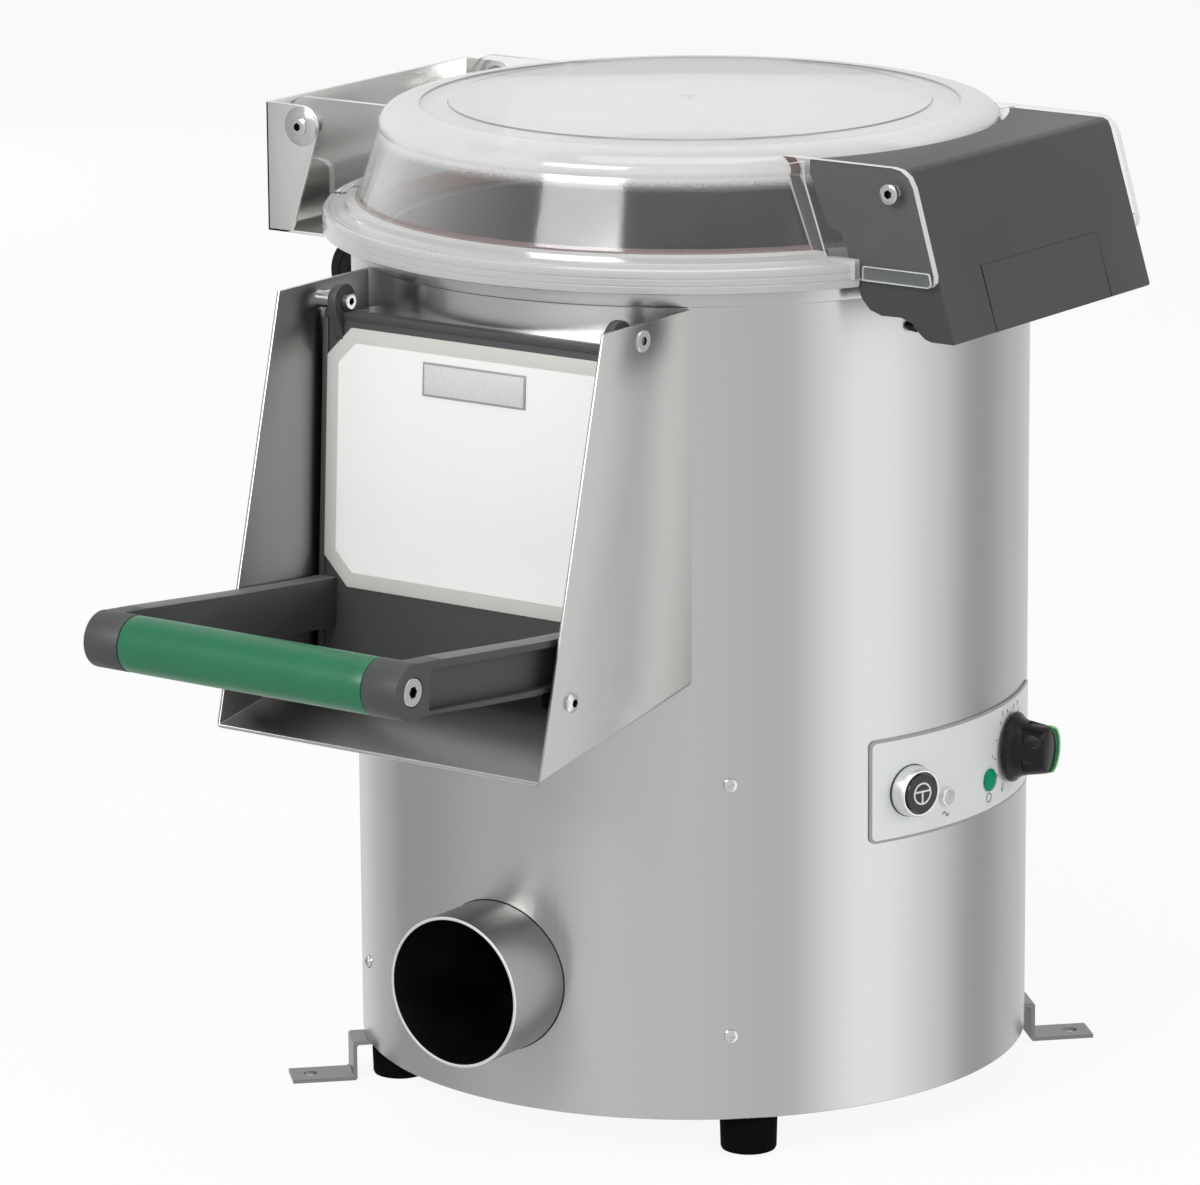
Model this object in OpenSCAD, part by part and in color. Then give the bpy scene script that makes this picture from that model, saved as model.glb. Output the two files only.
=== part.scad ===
// Bench-top electric potato peeler: a round stainless casing on rubber feet,
// a peeling drum with a spinning abrasive plate, a hinged clear lid with a pull latch,
// a discharge door with a bar handle inside a sheet chute, and a control strip.
// +Z is up, the drum axis is the Z axis, the floor is z = 0, the chute faces -Y,
// the latch and the controls face +X and the lid hinge stands at -X.

/* [Casing] */
// Outside diameter of the casing
casing_d = 340; // [330:1:350]
// Sheet thickness of the casing
casing_t = 1.5; // [1:0.1:2.5]
// Height of the casing wall
casing_h = 412; // [404:1:440]
// Height of the casing's lower edge above the floor
foot_h = 20.6; // [16:0.1:40]
// How far the rolled rim stands out from the casing
rim_w = 2; // [1.5:0.1:2.5]
// How far the rolled rim reaches down the casing
rim_drop = 6; // [3:0.5:6]
// Thickness of the rim's flat top
rim_t = 2; // [1:0.1:3]
// Number of casing screws around each row
screw_count = 4; // [2:1:4]
// Angle of the first casing screw from the chute side
screw_az = 41; // [36:1:48]
// Height of the lower screw row above the casing's lower edge
screw_low = 42.8; // [30:0.1:60]
// Distance of the upper screw row below the pan
screw_high = 15.5; // [8:0.1:24]
// Head diameter of a casing screw
casing_screw_d = 7; // [5:0.1:9]

/* [Drum and rotor] */
// Gap between the casing and the drum
drum_gap = 17; // [12:0.5:22]
// Sheet thickness of the drum
drum_t = 1.5; // [1:0.1:2]
// Depth of the drum from the casing's top edge to the pan
drum_depth = 226.6; // [222:0.1:230]
// Thickness of the pan floor
pan_t = 2; // [1.5:0.1:3]
// Thickness of the abrasive lining
lining_t = 3; // [2:0.1:5]
// Height of the abrasive lining
lining_h = 120; // [80:1:150]
// Height of the rotor plate's underside above the pan floor
rotor_rise = 24; // [18:1:28]
// Length of the hub under the rotor plate
hub_l = 12; // [8:0.5:15]
// Wall of the rotor's hub
hub_t = 8; // [5:0.5:10]
// Gap between the rotor's edge and the lining
rotor_gap = 3; // [2:0.1:6]
// Thickness of the rotor plate
rotor_t = 6; // [4:0.5:8]
// Thickness of the grit layer on the rotor
grit_t = 3; // [2:0.1:4]
// Number of ridges on the rotor
ridge_count = 3; // [2:1:4]
// Radius of a rotor ridge
ridge_r = 14; // [12:1:16]
// How far a ridge stands above the grit
ridge_h = 6; // [4:0.5:7]

/* [Drive] */
// Diameter of the drive shaft
shaft_d = 20; // [16:1:24]
// Outside diameter of a shaft bearing
bearing_d = 42; // [38:1:47]
// Width of a shaft bearing
bearing_w = 12; // [10:0.5:14]
// Wall of the bearing housing
housing_t = 7; // [5:0.5:9]
// Length of the bearing housing below the pan
housing_h = 84; // [60:1:100]
// Running clearance, on radius, of a shaft in its bearing
fit_gap = 0.05; // [0.02:0.01:0.09]
// Diameter of the rotor pulley
rotor_pulley_d = 110; // [90:1:112]
// Diameter of the motor pulley
motor_pulley_d = 40; // [30:1:48]
// Width of the pulleys
pulley_w = 16; // [12:1:18]
// Height of the pulleys above the base plate
pulley_rise = 12; // [8:1:14]
// Distance between the two pulley shafts
belt_centre = 88; // [86:1:92]
// Thickness of the belt
belt_t = 3; // [2:0.5:4]
// Width of the belt
belt_w = 11; // [8:1:12]
// Diameter of the motor
motor_d = 104; // [90:1:110]
// Gap between the motor and the pan above it
motor_gap = 23.4; // [18:0.1:40]
// Diameter of the motor shaft
motor_shaft_d = 14; // [10:1:16]
// Thickness of the motor plate
mount_t = 4; // [3:0.5:5]
// Height of the motor plate above the base plate
mount_rise = 38; // [36:1:42]
// Diameter of the motor plate's posts
post_d = 12; // [8:1:14]
// How far the motor plate reaches past the motor
mount_edge = 5; // [3:0.5:8]
// Length of the motor's terminal box
terminal_l = 50; // [30:1:60]
// Length of the control box
box_l = 60; // [40:1:64]
// Width of the control box
box_w = 46; // [30:1:48]
// Height of the control box
box_h = 30; // [20:1:34]
// Distance of the control box from the drum axis
box_x = 66; // [64:1:70]

/* [Base] */
// Thickness of the base plate
base_t = 2; // [1.5:0.1:3]
// Diameter of a rubber foot
foot_d = 29; // [24:0.5:29]
// Distance of a foot's centre from the casing's outside
foot_inset = 17.5; // [17:0.1:24]
// Diameter of the foot bolts
foot_bolt_d = 6; // [5:1:8]
// Radius of the circle through the fixing holes
lug_hole_r = 199; // [194:0.5:210]
// Width of a fixing lug
lug_w = 20; // [16:1:24]
// Thickness of a fixing lug
lug_t = 2; // [1.5:0.1:3]
// Gap between the casing and a lug's upright
lug_gap = 6; // [3:0.5:8]
// Diameter of a fixing hole
lug_hole_d = 7; // [5:0.1:9]

/* [Waste pipe] */
// Outside diameter of the waste pipe
pipe_d = 76.1; // [70:0.1:77]
// Wall of the waste pipe
pipe_t = 2; // [1.2:0.1:3]
// Height of the pipe's centre above the casing's lower edge
pipe_rise = 65.4; // [60:0.1:72]
// How far the pipe stands out of the casing
pipe_out = 35.7; // [25:0.1:60]
// Distance of the pipe's drop from the drum axis
pipe_drop_y = 104; // [102:1:108]

/* [Chute and door] */
// Outside width of the chute
chute_w = 194; // [190:1:200]
// Sheet thickness of the chute
chute_t = 1.5; // [1:0.1:2]
// Distance of the chute's top edge below the casing's top edge
chute_drop = 7.2; // [6.8:0.1:12]
// How far the chute's top corner stands out of the casing
chute_top_out = 41; // [36:1:46]
// How far the chute's bottom corner stands out of the casing
chute_low_out = 94.6; // [90:0.1:100]
// How far the chute's front edge lies below the door's lower edge
chute_below = 31.4; // [26:0.1:36]
// Rise of the chute floor from its front edge to the casing
chute_slope = 16.5; // [12:0.1:20]
// Width of the discharge opening
open_w = 152; // [140:1:156]
// Height of the discharge opening
open_h = 154; // [146:1:156]
// Distance of the opening's top below the chute's top edge
open_drop = 17.4; // [17:0.1:19]
// Wall of the discharge frame
frame_t = 3; // [2:0.5:4]
// How far the discharge frame stands out of the casing
frame_out = 2; // [1:0.5:2.5]
// Thickness of the door seal
seal_t = 3; // [2:0.1:3.2]
// Width of the door panel
door_w = 185; // [180:1:186]
// How far the door's face stands out of the casing at its top
door_out = 10; // [9.5:0.1:12]
// Extra thickness of the door at its lower edge
door_wedge = 8.8; // [6:0.1:12]
// Wall of the door moulding
door_t = 3.5; // [2.5:0.1:4]
// How far the door's foot hangs below its frame
door_apron = 9; // [4:0.5:9.5]
// Diameter of the door's ears
ear_d = 17.2; // [15:0.1:18]
// Thickness of a door ear
ear_t = 5; // [4:0.1:6]
// Height of the door's pivot above the opening's top
pivot_rise = 8.9; // [8.5:0.1:9]
// How far the door's pivot stands out of the casing
pivot_out = 9; // [8.6:0.1:11]
// Diameter of the door's pivot bolts
pivot_bolt_d = 6; // [5:0.5:8]
// Gap between the pivot's nuts and spacers and the door's top edge
pivot_gap = 0.4; // [0.3:0.1:1]

/* [Handle] */
// Outside diameter of the grip and its bosses
grip_d = 29.4; // [26:0.1:32]
// Length of one end boss of the handle
boss_l = 20.5; // [16:0.5:24]
// How far the grip's axis stands out of the casing
grip_out = 184.9; // [170:0.1:195]
// Height of the grip's axis above the door's lower edge
grip_rise = 32.8; // [30:0.1:36]
// Width of an arm across its flanges
arm_w = 7.5; // [6:0.1:9]
// Thickness of an arm's web
web_t = 3; // [2:0.1:4]
// Thickness of an arm's flanges
flange_t = 3.5; // [2.5:0.1:4]
// Depth of an arm at the grip
arm_front_h = 21; // [18:0.1:23]
// Depth of an arm at the door
arm_back_h = 29.5; // [24:0.1:32]
// Diameter of a grip screw's head
grip_screw_d = 14.2; // [12:0.1:16]
// Diameter of the stop buffers under the arms
buffer_d = 11; // [8:0.1:12]
// How far the stop buffers stand out of the casing
buffer_out = 69.8; // [60:0.1:80]

/* [Labels] */
// Width of the door label
label_w = 179.4; // [160:0.1:180]
// Height of the door label
label_h = 128.4; // [110:0.1:130]
// Distance of the label's top edge below the door's top edge
label_drop = 7.6; // [6:0.1:10]
// Size of the label's cut corners
label_cut = 14.6; // [8:0.1:20]
// Thickness of the label
label_t = 0.8; // [0.5:0.1:1.2]
// Width of the blank badge
badge_w = 61.6; // [50:0.1:70]
// Height of the blank badge
badge_h = 16.7; // [12:0.1:20]
// Thickness of the blank badge
badge_t = 0.5; // [0.3:0.1:1]

/* [Lid] */
// How far the lid's rim stands out past the casing
lid_over = 14; // [13:0.5:18]
// Height of the lid
lid_h = 64.5; // [62:0.5:70]
// Wall of the lid
lid_t = 3; // [2.5:0.1:3.5]
// Height of the lid's rim
lid_rim_h = 12; // [11:0.5:13]
// Thickness of the rim's skirt
skirt_t = 4; // [3:0.1:5]
// Gap between the lid and the casing's rim
lid_gap = 0.4; // [0.3:0.1:0.8]
// Distance of the lid wall's foot inside the casing's outer face
lid_foot_in = 4.5; // [3:0.5:6]
// How far the lid's wall leans in on its way up
lid_taper = 10; // [9:0.5:12.5]
// Distance of the disc in the lid's top from the lid's shoulder
lid_disc_in = 35; // [26:0.5:55]
// Width of the gasket
gasket_w = 10; // [6:0.5:11]

/* [Hinge] */
// How far the hinge axis stands out of the casing
hinge_out = 10; // [9:0.5:12]
// Height of the hinge axis above the lid's lower edge
hinge_rise = 45; // [44:0.5:46]
// Outside width of the hinge bracket
bracket_w = 169; // [160:1:172]
// Sheet thickness of the hinge bracket
bracket_t = 1.5; // [1:0.1:2]
// Distance of the bracket's back wall from the hinge axis
bracket_back = 22.4; // [21:0.1:26]
// Height of the bracket above the hinge axis
bracket_high = 10.8; // [10:0.1:13]
// Thickness of a lid ear
lid_ear_t = 4; // [3:0.1:5]
// Height of a hinge ear above the hinge axis
hinge_ear_r = 14.5; // [13:0.1:16]
// Diameter of the hinge and latch screws
hinge_screw_d = 6; // [5:0.5:8]
// Diameter of the hinge washers
washer_d = 20; // [16:0.5:21]
// Thickness of the hinge washers
washer_t = 2; // [1:0.1:2.5]

/* [Latch] */
// Outside width of the latch moulding
latch_w = 178.4; // [172:0.1:182]
// Wall of the latch moulding
latch_t = 3; // [2:0.1:4]
// How far the latch's pivot stands out of the casing
latch_out = 10.6; // [9:0.1:13]
// Height of the latch's pivot above the lid's lower edge
latch_rise = 47.7; // [46:0.1:49]
// Height of the latch's top above the lid's lower edge
latch_high = 59; // [57:0.1:60]
// Depth of the latch's lower edge below the lid's lower edge
latch_deep = 22.6; // [20:0.1:25]
// How far the latch leans out at its lower edge
latch_lean = 24.9; // [20:0.1:28]
// Distance of the latch's upper corner from its pivot
latch_nose = 9; // [7:0.1:10]
// Gap between the latch and the lid's wall
latch_gap = 3.5; // [3.4:0.1:5]
// Gap between the latch's sides and the lid's ears
latch_side_gap = 0.8; // [0.5:0.1:1.2]
// Width of the grip panel in the latch
panel_w = 106; // [90:1:120]
// Height of the grip panel in the latch
panel_h = 32; // [24:1:34]
// Thickness of the grip panel
panel_t = 1; // [0.6:0.1:2]
// Width of the catch magnet
magnet_w = 30; // [20:1:40]
// Height of the catch magnet
magnet_h = 12; // [8:1:14]
// Thickness of the catch plate on the casing
catch_t = 3; // [2:0.1:3.5]
// Gap between the magnet and the catch plate
catch_gap = 1; // [0.6:0.1:2]

/* [Controls] */
// Height of the control strip
strip_h = 52; // [46:0.5:60]
// Distance of the strip's centre below the pan
strip_drop = 26; // [24:0.1:32]
// Thickness of the control strip
strip_t = 1; // [0.6:0.1:1.5]
// Angle of the strip's first end from the chute side
strip_az0 = 65.2; // [60:0.1:67]
// Angle of the strip's second end from the chute side
strip_az1 = 117; // [114:0.1:124]
// Angle of the stop button
button_az = 73.5; // [72:0.1:75]
// Height of the stop button below the strip's centre
button_drop = 2; // [0:0.1:6]
// Diameter of the button's bezel
bezel_d = 25.4; // [22:0.1:28]
// How far the bezel stands out of the strip
bezel_out = 8; // [6:0.1:10]
// Diameter of the button's cap
cap_d = 19.4; // [17:0.1:20]
// Travel of the button
button_travel = 3; // [2:0.1:3.5]
// Angle of the mains lamp
mains_az = 81.6; // [81.4:0.1:83]
// Diameter of the mains lamp
mains_d = 8.8; // [7:0.1:9.4]
// Height of both lamps below the strip's centre
lamp_drop = 9.7; // [4:0.1:14]
// Angle of the running lamp
run_az = 94.2; // [92:0.1:94.6]
// Diameter of the running lamp
run_d = 11.4; // [9:0.1:12]
// Angle of the timer knob
knob_az = 103; // [102.5:0.1:106]
// Height of the timer knob above the strip's centre
knob_rise = 1.3; // [0:0.1:3]
// Diameter of the knob's skirt
knob_d = 35.4; // [32:0.1:36]
// Diameter of the knob's grip
knob_grip_d = 25; // [22:0.1:27]
// Length of the knob
knob_l = 20; // [16:0.5:24]
// Gap between the knob and the strip
knob_gap = 1.5; // [1.2:0.1:3]
// Diameter of the timer's shaft
timer_shaft_d = 6; // [5:0.5:7]
// Width of the timer's body
timer_w = 34; // [28:1:36]
// Height of the timer's body
timer_h = 36; // [30:1:37]
// Depth of the timer's body
timer_l = 34; // [24:1:36]
// Gap between the casing and the timer's body
timer_gap = 8; // [5:0.5:12]
// Width of the switch behind the button
switch_w = 24; // [16:1:26]
// Depth of the switch behind the button
switch_l = 23; // [18:0.5:28]
// Gap between the casing and the switch
switch_gap = 11; // [9:0.5:16]

/* [Services] */
// Diameter of the valve's coil
coil_d = 37; // [32:0.5:38]
// Length of the valve's coil
coil_l = 38; // [30:1:40]
// Distance of the coil's front face from the drum axis, toward the chute
coil_front = 28; // [24:1:30]
// Distance of the coil's axis below the casing's top edge
coil_drop = 38.1; // [36:0.1:42]
// Outside diameter of the threaded water inlet
inlet_d = 26.4; // [20:0.1:27]
// Length of the threaded water inlet
inlet_l = 12; // [10:0.5:16]
// Length of the neck above the inlet's thread
neck_l = 2; // [1:0.5:4]
// Diameter of the spray nozzle
nozzle_d = 10; // [8:0.5:14]
// Angle of the cable gland from the chute side
gland_az = 190; // [170:1:200]
// Height of the cable gland above the casing's lower edge
gland_rise = 40; // [30:1:60]
// Diameter of the hole for the cable
cable_d = 9; // [6:0.5:11]

/* [Hidden] */

round_fn = 128;      // facets of a large round piece on screen
small_fn = 48;       // facets of a small round piece on screen
slip = 0.2;          // radial clearance of a bolt in a plain hole
skin = 0.3;          // gap between parts that move past each other
over = 1;            // how far a cutting shape runs past a face

// Heights
casing_z = foot_h;
casing_top = casing_z + casing_h;
rim_top = casing_top + rim_t;
base_top = casing_z + base_t;
foot_circle_r = casing_d / 2 - foot_inset;
pan_z = casing_top - drum_depth;
rotor_z = pan_z + pan_t + rotor_rise;
grit_z = rotor_z + rotor_t;
pipe_z = casing_z + pipe_rise;
strip_z = pan_z - strip_drop;

// Radii
casing_r = casing_d / 2;
casing_in = casing_r - casing_t;
rim_r = casing_r + rim_w;
drum_r = casing_in - drum_gap - drum_t;
drum_out = drum_r + drum_t;
lining_r = drum_r - lining_t;
rotor_r = lining_r - rotor_gap;
pipe_r = pipe_d / 2;
pipe_in = pipe_r - pipe_t;
pipe_slim = pipe_r - pipe_t / 2;
strip_r = casing_r + strip_t;

// Chute, discharge opening and door
chute_x = chute_w / 2;
chute_in = chute_x - chute_t;
chute_top = casing_top - chute_drop;
chute_low_y = -casing_r - chute_low_out;
chute_top_y = -casing_r - chute_top_out;
open_top = chute_top - open_drop;
open_low = open_top - open_h;
open_x = open_w / 2;
frame_x = open_x + frame_t;
frame_y = -casing_r - frame_out;
seal_y = frame_y - seal_t;
seal_w = 5;
pivot_y = -casing_r - pivot_out;
pivot_z = open_top + pivot_rise;
spacer_r = pivot_rise - frame_t - 1 - pivot_gap;
ear_r = ear_d / 2;
bolt_r = pivot_bolt_d / 2;
door_x = door_w / 2;
door_top = open_top + frame_t + 1;
door_low = open_low - frame_t - 1;
chute_low = door_low - chute_below;
door_face_y = -casing_r - door_out;
door_back_y = seal_y - skin;
door_low_y = door_face_y - door_wedge;
door_tilt = atan(door_wedge / (door_top - door_low));
door_foot = door_low - door_apron;
door_foot_y = door_low_y - door_apron * tan(door_tilt);
ear_x = frame_x + 1;

// Handle
grip_r = grip_d / 2;
grip_y = -casing_r - grip_out;
grip_z = door_low + grip_rise;
arm_in = door_x - arm_w;
boss_in = door_x - boss_l;
arm_back_y = door_back_y - 2;
arm_back_z = door_low + 4;
grip_screw_r = grip_screw_d / 2;
buffer_y = -casing_r - buffer_out;
buffer_r = buffer_d / 2;

// Lid and hinge
lid_z = rim_top + lid_gap;
lid_r = casing_r + lid_over;
lid_top = lid_z + lid_h;
flange_z = lid_z + lid_rim_h;
flange_low = flange_z - lid_t;
step_h = 4;
foot_r = casing_r - lid_foot_in;
step_r = foot_r + 7;
top_r = foot_r - lid_taper;
disc_r = top_r - lid_disc_in;
shoulder_z = lid_top - 10;
gasket_r = foot_r - lid_t - 2;
hinge_z = lid_z + hinge_rise;
bracket_y = bracket_w / 2;
hinge_x = casing_r + hinge_out;
bracket_x = hinge_x + bracket_back;
bracket_z0 = casing_top - rim_drop - bracket_t - 0.5;
bracket_z1 = hinge_z + bracket_high;
hinge_r = hinge_screw_d / 2;
washer_r = washer_d / 2;
bush_t = 2;
inner_washer_t = bracket_t;
ear_y = bracket_y - bracket_t - inner_washer_t - skin;
head_h = 2.6;

// Latch
latch_z = lid_z + latch_rise;
latch_y = latch_w / 2;
latch_ear_y = latch_y + latch_side_gap;
latch_top = lid_z + latch_high;
latch_low = lid_z - latch_deep;
latch_x = casing_r + latch_out;
latch_fold_x = latch_x + latch_nose - 2;
latch_low_x = latch_x + latch_nose + latch_lean;
magnet_x = casing_r + catch_t + catch_gap;
magnet_t = 8;
magnet_z = latch_low + 2;

// Controls
button_z = strip_z - button_drop;
lamp_z = strip_z - lamp_drop;
knob_z = strip_z + knob_rise;
bezel_r = bezel_d / 2;
cap_r = cap_d / 2;
neck_r = 7;
stem_r = 3;
knob_base = strip_r + knob_gap;
knob_face = knob_base + knob_l;
switch_face = casing_in - switch_gap - skin;
timer_out = casing_in - timer_gap;

// Drive
shaft_r = shaft_d / 2;
bearing_r = bearing_d / 2;
housing_r = bearing_r + housing_t;
housing_z = pan_z - housing_h;
pulley_z = base_top + pulley_rise;
mount_z = base_top + mount_rise;
motor_z = mount_z + mount_t;
motor_h = pan_z - motor_gap - motor_z;
motor_y = belt_centre;
coil_r = coil_d / 2;
coil_z = casing_top - coil_drop;
coil_x = casing_r + coil_r + 0.5;
valve_y = coil_l - coil_front;
valve_l = 25;
nozzle_az = -90 - asin((valve_y + valve_l / 2) / casing_r);

// A ring about the drum axis
module ring(r_out, r_in, z0, z1) {
    difference() {
        translate([0, 0, z0]) cylinder(r = r_out, h = z1 - z0, $fn = round_fn);
        translate([0, 0, z0 - over]) cylinder(r = r_in, h = z1 - z0 + 2 * over, $fn = round_fn);
    }
}

// Turns a child drawn along +Z to point out of the casing at an angle and height
module outward(az, z) {
    rotate([0, 0, az]) translate([0, 0, z]) rotate([90, 0, 0]) children();
}

// A round bar that points out of the casing, from radius r0 to radius r1
module radial_bar(az, z, r, r0, r1) {
    outward(az, z) translate([0, 0, r0]) cylinder(r = r, h = r1 - r0, $fn = small_fn);
}

// A box between two corners
module block(low, high) {
    translate(low) cube(high - low);
}

// A round bar along X between x0 and x1
module bar_x(r, x0, x1, y, z) {
    translate([x0, y, z]) rotate([0, 90, 0]) cylinder(r = r, h = x1 - x0, $fn = small_fn);
}

// A round bar along Y between y0 and y1
module bar_y(r, y0, y1, x, z) {
    translate([x, y1, z]) rotate([90, 0, 0]) cylinder(r = r, h = y1 - y0, $fn = small_fn);
}

// Draws children once as they are and once mirrored to the other side of X or Y
module both_x() {
    children();
    mirror([1, 0, 0]) children();
}

module both_y() {
    children();
    mirror([0, 1, 0]) children();
}

// Extrudes an outline of [y, z] points along X between x0 and x1
module slab_x(x0, x1) {
    translate([x0, 0, 0]) rotate([90, 0, 90]) linear_extrude(height = x1 - x0) children();
}

// Extrudes an outline of [x, z] points along Y between y0 and y1
module slab_y(y0, y1) {
    translate([0, y1, 0]) rotate([90, 0, 0]) linear_extrude(height = y1 - y0) children();
}

// Points where a straight line touches two circles on one side
function touch(c0, r0, c1, r1, side) =
    let (d = c1 - c0, a = atan2(d[1], d[0]) + side * acos((r0 - r1) / norm(d)))
    [c0 + r0 * [cos(a), sin(a)], c1 + r1 * [cos(a), sin(a)]];

// Two circles joined by their common tangents
module capsule(c0, r0, c1, r1) {
    left = touch(c0, r0, c1, r1, 1);
    right = touch(c0, r0, c1, r1, -1);
    translate(c0) circle(r = r0, $fn = round_fn);
    translate(c1) circle(r = r1, $fn = round_fn);
    polygon([left[0], left[1], right[1], right[0]]);
}

// ---- casing and base ----

module casing() {
    color("silver") difference() {
        ring(casing_r, casing_in, casing_z, casing_top);
        block([-frame_x, -casing_r - over, open_low - frame_t],
              [frame_x, -drum_r / 2, open_top + frame_t]);
        bar_y(pipe_slim, -casing_r - over, -drum_r, 0, pipe_z);
        screw_holes();
        control_holes(casing_in - over, casing_r + over);
        radial_bar(button_az, latch_low - 3, 2.4, casing_in - over, casing_r + over);
        radial_bar(nozzle_az, coil_z, nozzle_d / 2, casing_in - over, casing_r + over);
        radial_bar(gland_az, casing_z + gland_rise, cable_d / 2 + 3,
                   casing_in - over, casing_r + over);
    }
}

module screw_places() {
    for (i = [0 : screw_count - 1], z = [casing_z + screw_low, pan_z - screw_high]) {
        outward(screw_az + (i % 2) * (180 - 2 * screw_az) + floor(i / 2) * 180, z) children();
    }
}

module screw_holes() {
    screw_places() translate([0, 0, casing_in - over])
        cylinder(r = casing_screw_d / 4, h = casing_t + 2 * over, $fn = small_fn);
}

module control_holes(r0, r1) {
    radial_bar(button_az, button_z, neck_r, r0, r1);
    radial_bar(mains_az, lamp_z, mains_d / 2 - 1, r0, r1);
    radial_bar(run_az, lamp_z, run_d / 2 - 1, r0, r1);
    radial_bar(knob_az, knob_z, timer_shaft_d / 2 + skin, r0, r1);
}

module casing_rim() {
    color("gainsboro") rotate_extrude($fn = round_fn) polygon([
        [casing_r, casing_top - rim_drop],
        [rim_r - 0.5, casing_top - rim_drop],
        [rim_r, casing_top - rim_drop + 0.5],
        [rim_r, rim_top - 1],
        [rim_r - 1, rim_top],
        [drum_out, rim_top],
        [drum_out, casing_top],
        [casing_r, casing_top]]);
}

module casing_screws() {
    color("silver") screw_places() {
        translate([0, 0, casing_r]) cylinder(r1 = casing_screw_d / 2, r2 = casing_screw_d / 3,
                                             h = 1.6, $fn = small_fn);
        translate([0, 0, casing_in - 6])
            cylinder(r = casing_screw_d / 4, h = casing_t + 6, $fn = small_fn);
    }
}

module foot_places() {
    for (i = [0 : 3]) rotate([0, 0, 45 + 90 * i]) translate([0, -foot_circle_r, 0]) children();
}

module base_plate() {
    color("silver") difference() {
        translate([0, 0, casing_z]) cylinder(r = casing_in, h = base_t, $fn = round_fn);
        foot_places() translate([0, 0, casing_z - over])
            cylinder(r = foot_bolt_d / 2, h = base_t + 2 * over, $fn = small_fn);
        for (i = [-2 : 2])
            block([-40, i * 14 - 3, casing_z - over], [40, i * 14 + 3, base_top + over]);
    }
}

// The feet under a fixing lug are shorter by the lug's thickness
module feet() {
    color("#2a2a2a") for (i = [0 : 3]) {
        top = casing_z - (i % 2 == 1 ? lug_t : 0);
        rotate([0, 0, 45 + 90 * i]) translate([0, -foot_circle_r, 0]) difference() {
            rotate_extrude($fn = small_fn) polygon([
                [0, 0], [foot_d / 2 - 2, 0], [foot_d / 2 - 0.6, 1.5],
                [foot_d / 2, top], [0, top]]);
            translate([0, 0, -over]) cylinder(r = foot_bolt_d, h = 6 + over, $fn = small_fn);
            cylinder(r = foot_bolt_d / 2, h = top + over, $fn = small_fn);
        }
    }
}

module foot_bolts() {
    color("silver") foot_places() {
        translate([0, 0, 2]) cylinder(r = foot_bolt_d - 1, h = 4, $fn = small_fn);
        translate([0, 0, 6]) cylinder(r = foot_bolt_d / 2, h = base_top, $fn = small_fn);
        translate([0, 0, base_top]) cylinder(r = foot_bolt_d - 0.5, h = 5, $fn = 6);
    }
}

module fixing_lugs() {
    upright = casing_r + lug_gap;
    tip = lug_hole_r + 10;
    color("silver") for (i = [1, 3]) rotate([0, 0, 45 + 90 * i]) difference() {
        slab_x(-lug_w / 2, lug_w / 2) polygon([
            [-foot_circle_r + 14, casing_z], [-upright - lug_t, casing_z],
            [-upright - lug_t, lug_t], [-tip, lug_t], [-tip, 0], [-upright, 0],
            [-upright, casing_z - lug_t], [-foot_circle_r + 14, casing_z - lug_t]]);
        translate([0, -lug_hole_r, -over])
            cylinder(r = lug_hole_d / 2, h = lug_t + 2 * over, $fn = small_fn);
        translate([0, -foot_circle_r, casing_z - lug_t - over])
            cylinder(r = foot_bolt_d / 2, h = lug_t + 2 * over, $fn = small_fn);
    }
}

// ---- drum, pan, rotor and drive ----

module opening_cut(r_in) {
    block([-open_x, -casing_r, open_low], [open_x, -r_in / 3, open_top]);
}

module peeling_drum() {
    color("silver") difference() {
        ring(drum_out, drum_r, pan_z, rim_top);
        opening_cut(drum_r);
        radial_bar(nozzle_az, coil_z, nozzle_d / 2, drum_r - over * 5, drum_out + over);
    }
}

module abrasive_lining() {
    color("dimgray") difference() {
        ring(drum_r, lining_r, rotor_z, rotor_z + lining_h);
        opening_cut(lining_r);
    }
}

module waste_pan() {
    color("silver") difference() {
        translate([0, 0, pan_z]) cylinder(r = drum_r, h = pan_t, $fn = round_fn);
        translate([0, -pipe_drop_y, pan_z - over])
            cylinder(r = pipe_in, h = pan_t + 2 * over, $fn = small_fn);
        translate([0, 0, pan_z - over])
            cylinder(r = bearing_r, h = pan_t + 2 * over, $fn = small_fn);
    }
}

module pipe_run(r, y_end, z_end) {
    bar_y(r, y_end, -pipe_drop_y, 0, pipe_z);
    translate([0, -pipe_drop_y, pipe_z]) cylinder(r = r, h = z_end - pipe_z, $fn = small_fn);
    translate([0, -pipe_drop_y, pipe_z]) sphere(r = r, $fn = small_fn);
}

module waste_pipe() {
    mouth_y = -casing_r - pipe_out;
    color("silver") difference() {
        union() {
            bar_y(pipe_r, mouth_y, -casing_r - 0.4, 0, pipe_z);
            pipe_run(pipe_slim, mouth_y + over, pan_z);
        }
        pipe_run(pipe_in, mouth_y - over, pan_z + over);
    }
}

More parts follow.
